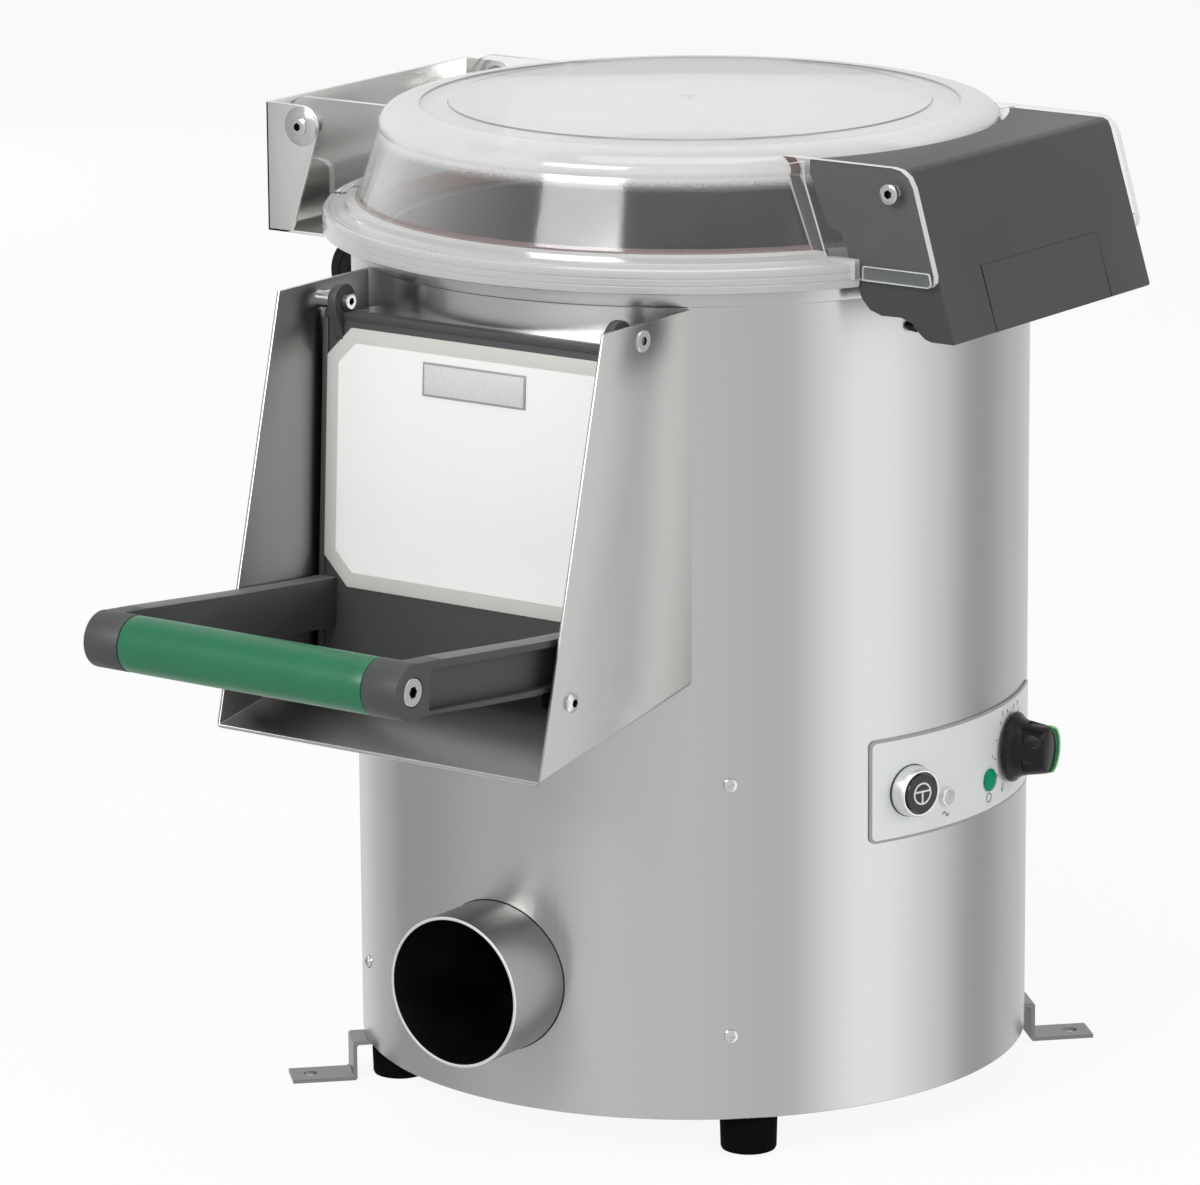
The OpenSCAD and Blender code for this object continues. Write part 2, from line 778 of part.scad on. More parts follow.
module motor_mount() {
    half = motor_d / 2 + mount_edge;
    post = half - post_d / 2 - 1;
    color("gray") difference() {
        union() {
            block([-half, motor_y - half, mount_z], [half, motor_y + half, motor_z]);
            for (x = [-post, post], y = [motor_y - motor_d / 5, motor_y + motor_d / 5])
                translate([x, y, base_top])
                    cylinder(r = post_d / 2, h = mount_z - base_top, $fn = small_fn);
        }
        translate([0, motor_y, mount_z - over])
            cylinder(r = motor_shaft_d / 2 + 2, h = mount_t + 2 * over, $fn = small_fn);
        difference() {
            translate([0, 0, mount_z - over]) cylinder(r = 2 * casing_r, h = mount_t + 2 * over,
                                                       $fn = round_fn);
            translate([0, 0, mount_z - 2 * over])
                cylinder(r = casing_in - 4, h = mount_t + 4 * over, $fn = round_fn);
        }
    }
}

module motor() {
    color("slategray") translate([0, motor_y, motor_z]) difference() {
        union() {
            cylinder(r = motor_d / 2, h = motor_h, $fn = round_fn);
            block([-motor_d / 2 - mount_edge, -terminal_l / 3, motor_h / 3],
                  [0, terminal_l / 3, motor_h / 3 + terminal_l]);
        }
        translate([0, 0, -over])
            cylinder(r = motor_shaft_d / 2 + fit_gap, h = 30 + over, $fn = small_fn);
    }
}

module motor_shaft() {
    color("silver") translate([0, motor_y, pulley_z - 4])
        cylinder(r = motor_shaft_d / 2, h = motor_z + 29 - pulley_z + 4, $fn = small_fn);
}

module pulley(r, bore_r) {
    difference() {
        rotate_extrude($fn = round_fn) polygon([
            [0, 0], [r + 2, 0], [r + 2, 1.5], [r - 0.2, 2], [r - 0.2, pulley_w - 2],
            [r + 2, pulley_w - 1.5], [r + 2, pulley_w], [0, pulley_w]]);
        translate([0, 0, -over]) cylinder(r = bore_r, h = pulley_w + 2 * over, $fn = small_fn);
    }
}

module motor_pulley() {
    color("gray") translate([0, motor_y, pulley_z])
        pulley(motor_pulley_d / 2 - skin, motor_shaft_d / 2);
}

module rotor_pulley() {
    color("gray") translate([0, 0, pulley_z])
        pulley(rotor_pulley_d / 2 - skin, shaft_r);
}

module drive_belt() {
    low = (pulley_w - belt_w) / 2;
    color("#1c1c1c") translate([0, 0, pulley_z + low]) linear_extrude(height = belt_w)
        difference() {
            capsule([0, 0], rotor_pulley_d / 2 + belt_t, [0, motor_y],
                    motor_pulley_d / 2 + belt_t);
            capsule([0, 0], rotor_pulley_d / 2, [0, motor_y], motor_pulley_d / 2);
        }
}

module drive_shaft() {
    color("silver") translate([0, 0, pulley_z - 4])
        cylinder(r = shaft_r, h = grit_z + 8 - pulley_z + 4, $fn = small_fn);
}

module bearing_housing() {
    color("gray") difference() {
        union() {
            translate([0, 0, housing_z])
                cylinder(r = housing_r, h = pan_z - housing_z, $fn = small_fn);
            translate([0, 0, pan_z - 5]) cylinder(r = housing_r + 14, h = 5, $fn = small_fn);
        }
        translate([0, 0, housing_z - over])
            cylinder(r = bearing_r, h = pan_z - housing_z + 2 * over, $fn = small_fn);
    }
}

module shaft_bearings() {
    color("lightgray") for (z = [housing_z + 2, pan_z - bearing_w - 2])
        ring(bearing_r, shaft_r + fit_gap, z, z + bearing_w);
}

module rotor_plate() {
    color("silver") difference() {
        union() {
            translate([0, 0, rotor_z]) cylinder(r = rotor_r, h = rotor_t, $fn = round_fn);
            translate([0, 0, rotor_z - hub_l])
                cylinder(r = shaft_r + hub_t, h = hub_l, $fn = small_fn);
        }
        translate([0, 0, rotor_z - hub_l - over])
            cylinder(r = shaft_r, h = rotor_t + hub_l + 2 * over, $fn = small_fn);
    }
}

module rotor_abrasive() {
    hub_r = shaft_r + hub_t + 4;
    color("dimgray") difference() {
        union() {
            translate([0, 0, grit_z]) cylinder(r = rotor_r, h = grit_t, $fn = round_fn);
            for (i = [0 : ridge_count - 1]) rotate([0, 0, i * 360 / ridge_count])
                translate([hub_r, 0, grit_z + grit_t + ridge_h - ridge_r])
                    rotate([0, 90, 0])
                        cylinder(r = ridge_r, h = rotor_r - hub_r - 6, $fn = small_fn);
        }
        translate([0, 0, grit_z - ridge_r * 3])
            cylinder(r = rotor_r + over, h = ridge_r * 3, $fn = round_fn);
        translate([0, 0, grit_z - over]) cylinder(r = shaft_r, h = 60, $fn = small_fn);
    }
}

module rotor_cap() {
    cap_z = grit_z + grit_t;
    color("silver") difference() {
        translate([0, 0, cap_z]) cylinder(r1 = shaft_r + hub_t + 2, r2 = shaft_r + 4, h = 10,
                                          $fn = small_fn);
        translate([0, 0, cap_z - over])
            cylinder(r = shaft_r, h = grit_z + 8 - cap_z + over, $fn = small_fn);
    }
}

module control_box() {
    color("darkgray") block([-box_x - box_w, post_d, base_top],
                           [-box_x, post_d + box_l, base_top + box_h]);
}

module cable_gland() {
    r = cable_d / 2;
    color("#202020") outward(gland_az, casing_z + gland_rise) difference() {
        union() {
            translate([0, 0, casing_r + 0.2]) cylinder(r = r + 7, h = 5, $fn = 6);
            translate([0, 0, casing_r + 5]) cylinder(r1 = r + 5, r2 = r + 2.5, h = 15,
                                                     $fn = small_fn);
            translate([0, 0, casing_in - 10]) cylinder(r = r + 3, h = 16, $fn = small_fn);
        }
        translate([0, 0, casing_in - 10 - over]) cylinder(r = r, h = 60, $fn = small_fn);
        translate([0, 0, casing_in - 10 - over])
            cylinder(r = r + 1, h = casing_t + 11 + over, $fn = small_fn);
    }
}

// The valve body, its threaded inlet that points down and its spray nozzle in the drum
module water_valve() {
    body_x0 = casing_r + 1;
    body_x1 = coil_x + 8;
    inlet_low = coil_z - coil_r - inlet_l - neck_l;
    color("#26282a") difference() {
        union() {
            block([-body_x1, valve_y, coil_z - coil_r],
                  [-body_x0, valve_y + valve_l, coil_z + 8]);
            translate([-coil_x, valve_y + valve_l / 2, inlet_low])
                cylinder(r = inlet_d / 2, h = inlet_l, $fn = small_fn);
            translate([-coil_x, valve_y + valve_l / 2, inlet_low])
                cylinder(r = inlet_d / 2 - 2, h = inlet_l + neck_l + over, $fn = small_fn);
            radial_bar(nozzle_az, coil_z, nozzle_d / 2, drum_r - 5, casing_r + 3);
        }
        translate([-coil_x, valve_y + valve_l / 2, inlet_low - over])
            cylinder(r = inlet_d / 2 - 4, h = inlet_l + over, $fn = small_fn);
        radial_bar(nozzle_az, coil_z, nozzle_d / 2 - 2, drum_r - 5 - over, casing_r);
    }
}

module valve_coil() {
    color("#161718") bar_y(coil_r, -coil_front, valve_y, -coil_x, coil_z);
}

// ---- chute and door ----

module discharge_frame() {
    color("silver") difference() {
        block([-frame_x, frame_y, open_low - frame_t], [frame_x, -drum_r / 2, open_top + frame_t]);
        block([-open_x, frame_y - over, open_low], [open_x, 0, open_top]);
        translate([0, 0, open_low - 10])
            cylinder(r = drum_out, h = open_h + 20, $fn = round_fn);
    }
}

module chute_side() {
    polygon([[chute_low_y, chute_low + 3], [chute_low_y + 0.4, chute_low + 1.4],
             [chute_low_y + 2, chute_low], [-drum_r / 2, chute_floor(-drum_r / 2)],
             [-drum_r / 2, chute_top], [chute_top_y + 4, chute_top],
             [chute_top_y + 0.6, chute_top - 2.6]]);
}

function chute_floor(y) =
    chute_low + chute_slope * (y - chute_low_y) / (-casing_r - chute_low_y);

module discharge_chute() {
    color("silver") difference() {
        union() {
            both_x() slab_x(chute_in, chute_x) chute_side();
            slab_x(-chute_x, chute_x) polygon([
                [chute_low_y + 2, chute_low], [-drum_r / 2, chute_floor(-drum_r / 2)],
                [-drum_r / 2, chute_floor(-drum_r / 2) + chute_t],
                [chute_low_y + 2, chute_low + chute_t]]);
        }
        translate([0, 0, chute_low - 10])
            cylinder(r = casing_r, h = casing_h, $fn = round_fn);
        both_x() bar_x(bolt_r, chute_in - over, chute_x + over, pivot_y, pivot_z);
        both_x() bar_x(bolt_r, chute_in - over, chute_x + over, buffer_y, buffer_z());
    }
}

// Height at which a buffer touches the underside of an arm
function arm_low(y) =
    let (y0 = grip_y + grip_r, z0 = grip_z + arm_front_h / 2 - arm_front_h - 2,
         t = (y - y0) / (arm_back_y - y0))
    z0 + t * (arm_back_z - z0);
function buffer_z() = arm_low(buffer_y) - buffer_r - 0.35;

module door_seal() {
    color("#202020") difference() {
        block([-frame_x, seal_y, open_low - frame_t], [frame_x, frame_y, open_top - 4 + seal_w]);
        block([-frame_x + seal_w, seal_y - over, open_low - frame_t + seal_w],
              [frame_x - seal_w, frame_y + over, open_top - 4]);
    }
}

module door_pivot_bolts() {
    color("silver") both_x() {
        bar_x(bolt_r - fit_gap, ear_x - 4, chute_x, pivot_y, pivot_z);
        bar_x(bolt_r + 2.4, chute_x, chute_x + 0.6, pivot_y, pivot_z);
        bar_x(spacer_r, ear_x - 5, ear_x - 0.4, pivot_y, pivot_z);
    }
}

module door_spacers() {
    color("silver") both_x() difference() {
        bar_x(spacer_r, ear_x + ear_t + 0.4, chute_in, pivot_y, pivot_z);
        bar_x(bolt_r - fit_gap, ear_x, chute_x, pivot_y, pivot_z);
    }
}

module stop_screws() {
    color("silver") both_x() {
        bar_x(bolt_r - slip, arm_in + 1, chute_x, buffer_y, buffer_z());
        translate([chute_x, buffer_y, buffer_z()]) rotate([0, 90, 0])
            cylinder(r1 = bolt_r + 1.9, r2 = bolt_r + 0.6, h = 3, $fn = small_fn);
    }
}

module stop_buffers() {
    color("#202020") both_x() difference() {
        bar_x(buffer_r, arm_in - 1, chute_in, buffer_y, buffer_z());
        bar_x(bolt_r - slip, arm_in - 2, chute_x, buffer_y, buffer_z());
    }
}

module arm_outline() {
    y0 = grip_y + grip_r;
    top0 = grip_z + arm_front_h / 2 - 2;
    polygon([[grip_y, top0 + 4], [y0, top0], [arm_back_y, arm_back_z + arm_back_h],
             [arm_back_y, arm_back_z], [y0, arm_low(y0)], [grip_y, arm_low(y0) - 1]]);
}

module arm_recess() {
    y0 = grip_y + grip_r + 3;
    top0 = grip_z + arm_front_h / 2 - 2 - flange_t;
    polygon([[y0, top0], [door_low_y - 2, arm_back_z + arm_back_h - flange_t],
             [door_low_y - 2, arm_low(door_low_y) + flange_t],
             [y0, arm_low(y0) + flange_t]]);
}

// One moulding: panel, two hinge ears and two handle arms with their end bosses
module door() {
    color("#4a4d4d") difference() {
        union() {
            slab_x(-door_x, door_x) polygon([
                [door_face_y, door_top], [door_back_y, door_top],
                [door_back_y, door_foot], [door_foot_y, door_foot]]);
            both_x() {
                slab_x(arm_in, door_x) arm_outline();
                bar_x(grip_r, boss_in, door_x, grip_y, grip_z);
                bar_x(ear_r, ear_x, ear_x + ear_t, pivot_y, pivot_z);
                slab_x(ear_x, ear_x + ear_t) polygon([
                    [pivot_y - ear_r, pivot_z], [door_face_y - 2, door_top - 14],
                    [door_back_y, door_top - 14], [door_back_y, pivot_z - ear_r],
                    [pivot_y + ear_r - 1.8, pivot_z - 3]]);
            }
        }
        both_x() {
            slab_x(arm_in + web_t, door_x + over) arm_recess();
            bar_x(bolt_r, ear_x - over, ear_x + ear_t + over, pivot_y, pivot_z);
            bar_x(grip_screw_r, door_x - 4, door_x + over, grip_y, grip_z);
            bar_x(grip_r * 0.28, boss_in - over, door_x, grip_y, grip_z);
        }
        slab_x(-frame_x + seal_w + 2, frame_x - seal_w - 2) polygon([
            [door_back_y + over, door_low + 14], [door_back_y + over, door_top - 40],
            [door_face_y + door_t - 2, door_top - 40],
            [door_low_y + door_t + 2, door_low + 14]]);
    }
}

// Places a child, drawn in x and z with its back at y = 0, on the door's sloping face
module on_door() {
    translate([0, door_face_y, door_top]) rotate([-door_tilt, 0, 0]) children();
}

module door_label() {
    x = label_w / 2;
    z0 = -label_drop - label_h;
    color("whitesmoke") on_door() slab_y(-label_t, 0) polygon([
        [-x + label_cut, -label_drop], [x - label_cut, -label_drop],
        [x, -label_drop - label_cut], [x, z0 + label_cut], [x - label_cut, z0],
        [-x + label_cut, z0], [-x, z0 + label_cut], [-x, -label_drop - label_cut]]);
}

module door_badge() {
    top = -label_drop - 11.6;
    color("gainsboro") on_door()
        block([-badge_w / 2, -label_t - badge_t, top - badge_h], [badge_w / 2, -label_t, top]);
}

module grip_tube() {
    color("seagreen") difference() {
        bar_x(grip_r - 0.2, -boss_in, boss_in, grip_y, grip_z);
        both_x() bar_x(grip_r * 0.28, boss_in - 26, boss_in + over, grip_y, grip_z);
    }
}

module grip_screws() {
    color("silver") both_x() {
        bar_x(grip_screw_r, door_x - 4, door_x - 0.2, grip_y, grip_z);
        bar_x(grip_r * 0.28, boss_in - 26, door_x - 3, grip_y, grip_z);
    }
}

// ---- controls ----

module control_strip() {
    reach = 2 * casing_r;
    z0 = strip_z - strip_h / 2;
    z1 = strip_z + strip_h / 2;
    mid = (strip_az0 + strip_az1) / 2;
    color("gainsboro") difference() {
        intersection() {
            ring(strip_r, casing_r, z0, z1);
            translate([0, 0, z0]) linear_extrude(height = z1 - z0) polygon([
                [0, 0], reach * [sin(strip_az0), -cos(strip_az0)],
                reach * [sin(mid), -cos(mid)], reach * [sin(strip_az1), -cos(strip_az1)]]);
        }
        control_holes(casing_in, strip_r + over);
    }
}

module button_bezel() {
    color("silver") outward(button_az, button_z) difference() {
        union() {
            translate([0, 0, strip_r]) cylinder(r1 = bezel_r, r2 = bezel_r - 1.4, h = bezel_out,
                                                $fn = small_fn);
            translate([0, 0, casing_in - 8])
                cylinder(r = neck_r, h = strip_r - casing_in + 9, $fn = small_fn);
        }
        translate([0, 0, strip_r + 2])
            cylinder(r = cap_r + skin, h = bezel_out, $fn = small_fn);
        translate([0, 0, casing_in - 8 - over])
            cylinder(r = stem_r + skin, h = 30, $fn = small_fn);
    }
}

module button_cap() {
    face = strip_r + bezel_out + 1;
    color("#1a1a1a") outward(button_az, button_z) {
        translate([0, 0, face - 3]) cylinder(r = cap_r, h = 3, $fn = small_fn);
        translate([0, 0, switch_face + skin + button_travel])
            cylinder(r = stem_r, h = face - switch_face - button_travel - 1, $fn = small_fn);
    }
}

module switch_block() {
    color("dimgray") outward(button_az, button_z)
        block([-switch_w / 2, -switch_w / 2, switch_face - switch_l],
              [switch_w / 2, switch_w / 2, switch_face]);
}

module lamp(az, r, dome) {
    outward(az, lamp_z) {
        translate([0, 0, strip_r]) cylinder(r = r, h = 1.2, $fn = small_fn);
        translate([0, 0, strip_r + 1.2]) cylinder(r1 = r, r2 = r * 0.55, h = dome,
                                                  $fn = small_fn);
        translate([0, 0, casing_in - 12])
            cylinder(r = r - 1, h = strip_r - casing_in + 12, $fn = small_fn);
    }
}

module mains_lamp() {
    color("whitesmoke") lamp(mains_az, mains_d / 2, 1);
}

module run_lamp() {
    color("mediumseagreen") lamp(run_az, run_d / 2, 2);
}

module timer_body() {
    color("gray") outward(knob_az, knob_z) difference() {
        block([-timer_w / 2, -timer_h / 2, timer_out - timer_l],
              [timer_w / 2, timer_h / 2, timer_out]);
        translate([0, 0, timer_out - 10])
            cylinder(r = timer_shaft_d / 2 + fit_gap, h = 10 + over, $fn = small_fn);
    }
}

module timer_knob() {
    skirt = knob_d / 2;
    grip = knob_grip_d / 2;
    color("#151515") outward(knob_az, knob_z) {
        difference() {
            translate([0, 0, knob_base]) rotate_extrude($fn = small_fn) polygon([
                [0, 0], [skirt, 0], [skirt, 1.5], [skirt - 1.5, 3], [grip + 1.5, 5.5],
                [grip, 8], [grip - 0.5, knob_l - 1.5], [grip - 2, knob_l], [0, knob_l]]);
            translate([0, 0, knob_base - over])
                cylinder(r = timer_shaft_d / 2, h = 10 + over, $fn = small_fn);
            pointer_bar(knob_face - 2, knob_face + over);
        }
        translate([0, 0, timer_out - 9])
            cylinder(r = timer_shaft_d / 2, h = knob_base + 10 - timer_out + 9, $fn = small_fn);
    }
}

module pointer_bar(z0, z1) {
    grip = knob_grip_d / 2;
    block([-1.6, 1, z0], [1.6, grip - 2.5, z1]);
}

module knob_pointer() {
    color("limegreen") outward(knob_az, knob_z) pointer_bar(knob_face - 2, knob_face + 0.4);
}

// ---- lid, hinge and latch ----

lid_outside = [
    [0, lid_z], [lid_r, lid_z], [lid_r, flange_z - 1.5], [lid_r - 1.5, flange_z],
    [step_r + 0.8, flange_z + 0.8], [step_r, flange_z + step_h - 1],
    [step_r - 1.2, flange_z + step_h], [foot_r + 1.5, flange_z + step_h + 0.6],
    [foot_r, flange_z + step_h + 2.4], [top_r - 0.6, shoulder_z - 3.4],
    [top_r, shoulder_z - 2], [top_r, shoulder_z + 1], [top_r - 1.2, shoulder_z + 4],
    [top_r - 4, shoulder_z + 7.4], [top_r - 8, shoulder_z + 8.9],
    [top_r - 9, shoulder_z + 8.1], [disc_r + 1, shoulder_z + 8.6],
    [disc_r, shoulder_z + 9.6], [0, lid_top]];

lid_inside = [
    [0, lid_z - over], [lid_r - skirt_t, lid_z - over], [lid_r - skirt_t, flange_low],
    [foot_r - lid_t, flange_low], [foot_r - lid_t, flange_z + step_h - 1],
    [top_r - lid_t - 1, shoulder_z - 3.4], [top_r - lid_t - 0.6, shoulder_z],
    [top_r - lid_t - 4, shoulder_z + 4.4], [top_r - lid_t - 9, shoulder_z + 5.4],
    [0, shoulder_z + 5.9]];

module hinge_ear() {
    translate([-hinge_x, hinge_z]) circle(r = hinge_ear_r, $fn = small_fn);
    polygon([[-hinge_x, hinge_z + hinge_ear_r], [-drum_r + 20, hinge_z + hinge_ear_r],
             [-drum_r + 20, flange_z - 4], [-hinge_x + 15, flange_z - 4],
             [-hinge_x + 15, hinge_z - hinge_ear_r - 3], [-hinge_x, hinge_z - hinge_ear_r]]);
}

module latch_ear() {
    top_c = [latch_x + 1, latch_z + 0.3];
    low_c = [latch_low_x - 13.3, lid_z + 8.3];
    edge = touch(top_c, 12, low_c, 4, 1);
    translate(top_c) circle(r = 12, $fn = small_fn);
    translate(low_c) circle(r = 4, $fn = small_fn);
    polygon([[drum_r - 34, top_c[1] + 12], [top_c[0], top_c[1] + 12], edge[0], edge[1],
             [low_c[0], lid_z + 4.3], [drum_r - 10, lid_z + 4.3]]);
}

module lid() {
    color([0.8, 0.85, 0.88, 0.4]) difference() {
        union() {
            difference() {
                rotate_extrude($fn = round_fn) polygon(lid_outside);
                difference() {
                    block([0, -latch_ear_y, lid_z - over],
                          [lid_r + over, latch_ear_y, flange_z + step_h + 3]);
                    translate([0, 0, lid_z - 2 * over])
                        cylinder(r = foot_r + 3, h = lid_rim_h + 20, $fn = round_fn);
                }
            }
            both_y() slab_y(ear_y - lid_ear_t, ear_y) hinge_ear();
            both_y() slab_y(latch_ear_y, latch_ear_y + lid_ear_t) latch_ear();
        }
        rotate_extrude($fn = round_fn) polygon(lid_inside);
        both_y() bar_y(hinge_r + bush_t, ear_y - lid_ear_t - over, ear_y + over,
                       -hinge_x, hinge_z);
        both_y() bar_y(hinge_r, latch_ear_y - over, latch_ear_y + lid_ear_t + over,
                       latch_x, latch_z);
    }
}

module lid_gasket() {
    color("indianred") ring(gasket_r + gasket_w, gasket_r, lid_z, flange_low);
}

module hinge_bushes() {
    color("gainsboro") both_y() difference() {
        bar_y(hinge_r + bush_t, ear_y - lid_ear_t, ear_y, -hinge_x, hinge_z);
        bar_y(hinge_r + fit_gap, ear_y - lid_ear_t - over, ear_y + over, -hinge_x, hinge_z);
    }
}

module hinge_bracket() {
    wall_in = bracket_x - bracket_t;
    low_in = hinge_x + 5.8;
    edge = touch([-hinge_x, hinge_z], bracket_high, [-low_in - 4, bracket_z0], 4, 1);
    color("silver") difference() {
        union() {
            block([-bracket_x, -bracket_y, bracket_z0], [-wall_in, bracket_y, bracket_z1]);
            block([-bracket_x, -bracket_y, bracket_z0],
                  [-casing_r / 2, bracket_y, bracket_z0 + bracket_t]);
            both_y() slab_y(bracket_y - bracket_t, bracket_y) {
                translate([-hinge_x, hinge_z]) circle(r = bracket_high, $fn = small_fn);
                polygon([[-bracket_x, bracket_z0], [-low_in, bracket_z0],
                         [-hinge_x + bracket_high, hinge_z - 8],
                         [-hinge_x + bracket_high, hinge_z], [-hinge_x, hinge_z],
                         [-hinge_x, bracket_z1], [-bracket_x, bracket_z1]]);
            }
        }
        translate([0, 0, bracket_z0 - over])
            cylinder(r = casing_r, h = bracket_t + 2 * over, $fn = round_fn);
        both_y() bar_y(hinge_r, bracket_y - bracket_t - over, bracket_y + over,
                       -hinge_x, hinge_z);
    }
}

module hinge_washers() {
    color("silver") both_y() difference() {
        union() {
            bar_y(washer_r, bracket_y, bracket_y + washer_t, -hinge_x, hinge_z);
            bar_y(washer_r - 1.5, bracket_y - bracket_t - inner_washer_t,
                  bracket_y - bracket_t, -hinge_x, hinge_z);
        }
        bar_y(hinge_r, bracket_y - 9, bracket_y + 9, -hinge_x, hinge_z);
    }
}

module hinge_screws() {
    inner = ear_y - lid_ear_t - skin;
    color("silver") both_y() {
        bar_y(hinge_r, inner - 5, bracket_y + washer_t, -hinge_x, hinge_z);
        bar_y(hinge_r + 1.8, bracket_y + washer_t, bracket_y + washer_t + head_h,
              -hinge_x, hinge_z);
        bar_y(hinge_r + 3, inner - 4, inner, -hinge_x, hinge_z);
    }
}

// Side outline of the latch, from its top inner corner round the lid to its outer edge
latch_side = [
    [latch_fold_x - 4, latch_top], [drum_r - 20, latch_top], [drum_r - 20, lid_z + 32],
    [latch_x - 32, lid_z + 24.9], [latch_x - 28.5, lid_z + 18.6],
    [latch_x - 24.9, lid_z + 7.2], [latch_x - 19.6, lid_z - 5.5],
    [latch_x - 15, lid_z - 10.6], [latch_x - 8.3, lid_z - 12.8],
    [latch_x + 2.5, lid_z - 12.5], [latch_x + 9.3, lid_z - 14.7],
    [latch_x + 13, lid_z - 19], [latch_x + 16.4, lid_z - 21.6],
    [latch_x + 20, latch_low], [latch_low_x, latch_low],
    [latch_fold_x + 2, latch_top - 2]];

module latch_hollow() {
    run = [latch_low_x - latch_fold_x - 2, latch_low - latch_top + 2];
    shift = latch_t / cos(atan(run[0] / run[1]));
    polygon([[drum_r / 2, latch_low - 20], [latch_low_x - shift - 20 * run[0] / run[1],
                                            latch_low - 20],
             [latch_fold_x + 2 - shift, latch_top - latch_t], [drum_r / 2, latch_top - latch_t]]);
}

module latch() {
    side_in = latch_y - latch_t;
    clear_r = foot_r + 3 + latch_gap;
    color("#3f4243") difference() {
        union() {
            difference() {
                slab_y(-latch_y, latch_y) polygon(latch_side);
                slab_y(-side_in, side_in) latch_hollow();
            }
            both_y() slab_y(magnet_w / 2, magnet_w / 2 + latch_t) magnet_rib();
        }
        rotate_extrude($fn = round_fn) polygon([
            [0, lid_z - 5], [clear_r, lid_z - 5], [clear_r, flange_z + step_h + 5],
            [foot_r + latch_gap, flange_z + step_h + 8],
            [top_r + latch_gap, shoulder_z - 3], [top_r + latch_gap, lid_top + 5],
            [0, lid_top + 5]]);
        slab_y(-panel_w / 2, panel_w / 2) grip_outline(0);
        both_y() bar_y(hinge_r + fit_gap, side_in - over, latch_y + over, latch_x, latch_z);
    }
}

module magnet_rib() {
    polygon([[magnet_x, magnet_z], [latch_low_x - latch_t, magnet_z],
             [latch_low_x - latch_t - 4, magnet_z + magnet_h],
             [magnet_x, magnet_z + magnet_h]]);
}

// The panel lies in the outer wall, flush with it, at the latch's lower edge
module grip_outline(inset) {
    lean = (latch_low_x - latch_fold_x - 2) / (latch_top - 2 - latch_low);
    polygon([[latch_low_x - panel_t + inset, latch_low],
             [latch_low_x + 5, latch_low],
             [latch_low_x + 5 - lean * panel_h, latch_low + panel_h],
             [latch_low_x - panel_t + inset - lean * panel_h, latch_low + panel_h]]);
}

module latch_grip() {
    lean = (latch_low_x - latch_fold_x - 2) / (latch_top - 2 - latch_low);
    color("#363939") slab_y(-panel_w / 2, panel_w / 2) polygon([
        [latch_low_x - panel_t, latch_low], [latch_low_x, latch_low],
        [latch_low_x - lean * panel_h, latch_low + panel_h],
        [latch_low_x - panel_t - lean * panel_h, latch_low + panel_h]]);
}

module latch_magnet() {
    color("dimgray") block([magnet_x, -magnet_w / 2, magnet_z],
                           [magnet_x + magnet_t, magnet_w / 2, magnet_z + magnet_h]);
}

module latch_screws() {
    face = latch_ear_y + lid_ear_t;
    color("silver") both_y() {
        bar_y(hinge_r, latch_y - latch_t - 2, face, latch_x, latch_z);
        bar_y(hinge_r + 1.9, face, face + head_h, latch_x, latch_z);
    }
}

module catch_plate() {
    half = magnet_w / 2 + 6;
    color("silver") intersection() {
        ring(casing_r + catch_t, casing_r, magnet_z - 1, magnet_z + magnet_h);
        block([0, -half, magnet_z - 2], [2 * casing_r, half, magnet_z + magnet_h + 1]);
    }
}

module lid_sensor() {
    z = latch_low - 3;
    color("#303030") {
        radial_bar(button_az, z, 2.4, casing_in - 10, casing_r + 4);
        radial_bar(button_az, z, 4.5, casing_in - 6, casing_in - 1.5);
    }
}

casing();
casing_rim();
casing_screws();
base_plate();
feet();
foot_bolts();
fixing_lugs();
peeling_drum();
abrasive_lining();
waste_pan();
waste_pipe();
discharge_frame();
discharge_chute();
door_seal();
door_pivot_bolts();
door_spacers();
stop_screws();
stop_buffers();
door();
door_label();
door_badge();
grip_tube();
grip_screws();
motor_mount();
motor();
motor_shaft();
motor_pulley();
drive_belt();
rotor_pulley();
drive_shaft();
bearing_housing();
shaft_bearings();
rotor_plate();
rotor_abrasive();
rotor_cap();
control_box();
cable_gland();
water_valve();
valve_coil();
control_strip();
button_bezel();
button_cap();
switch_block();
mains_lamp();
run_lamp();
timer_body();
timer_knob();
knob_pointer();
lid_sensor();
catch_plate();
hinge_bracket();
hinge_screws();
hinge_washers();
hinge_bushes();
lid();
lid_gasket();
latch();
latch_grip();
latch_magnet();
latch_screws();
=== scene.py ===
import bpy
import bmesh
import math
from mathutils import Matrix, Vector


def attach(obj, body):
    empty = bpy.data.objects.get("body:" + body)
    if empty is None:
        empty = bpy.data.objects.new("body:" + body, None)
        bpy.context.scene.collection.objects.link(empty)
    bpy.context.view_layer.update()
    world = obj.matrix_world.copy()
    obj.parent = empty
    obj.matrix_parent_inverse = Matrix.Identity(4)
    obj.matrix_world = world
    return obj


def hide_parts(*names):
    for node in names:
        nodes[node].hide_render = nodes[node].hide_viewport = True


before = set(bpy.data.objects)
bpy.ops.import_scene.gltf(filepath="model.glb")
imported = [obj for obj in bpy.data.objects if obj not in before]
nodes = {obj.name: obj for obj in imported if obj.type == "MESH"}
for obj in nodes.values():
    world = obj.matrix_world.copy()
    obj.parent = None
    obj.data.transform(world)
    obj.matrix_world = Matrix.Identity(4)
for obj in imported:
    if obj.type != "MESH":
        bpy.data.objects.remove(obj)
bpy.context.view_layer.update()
print("frame loaded:", len(nodes), "nodes")

thousandth = 0.001  # sizes are in millimetres, and the scene in metres
turn = 2 * math.pi


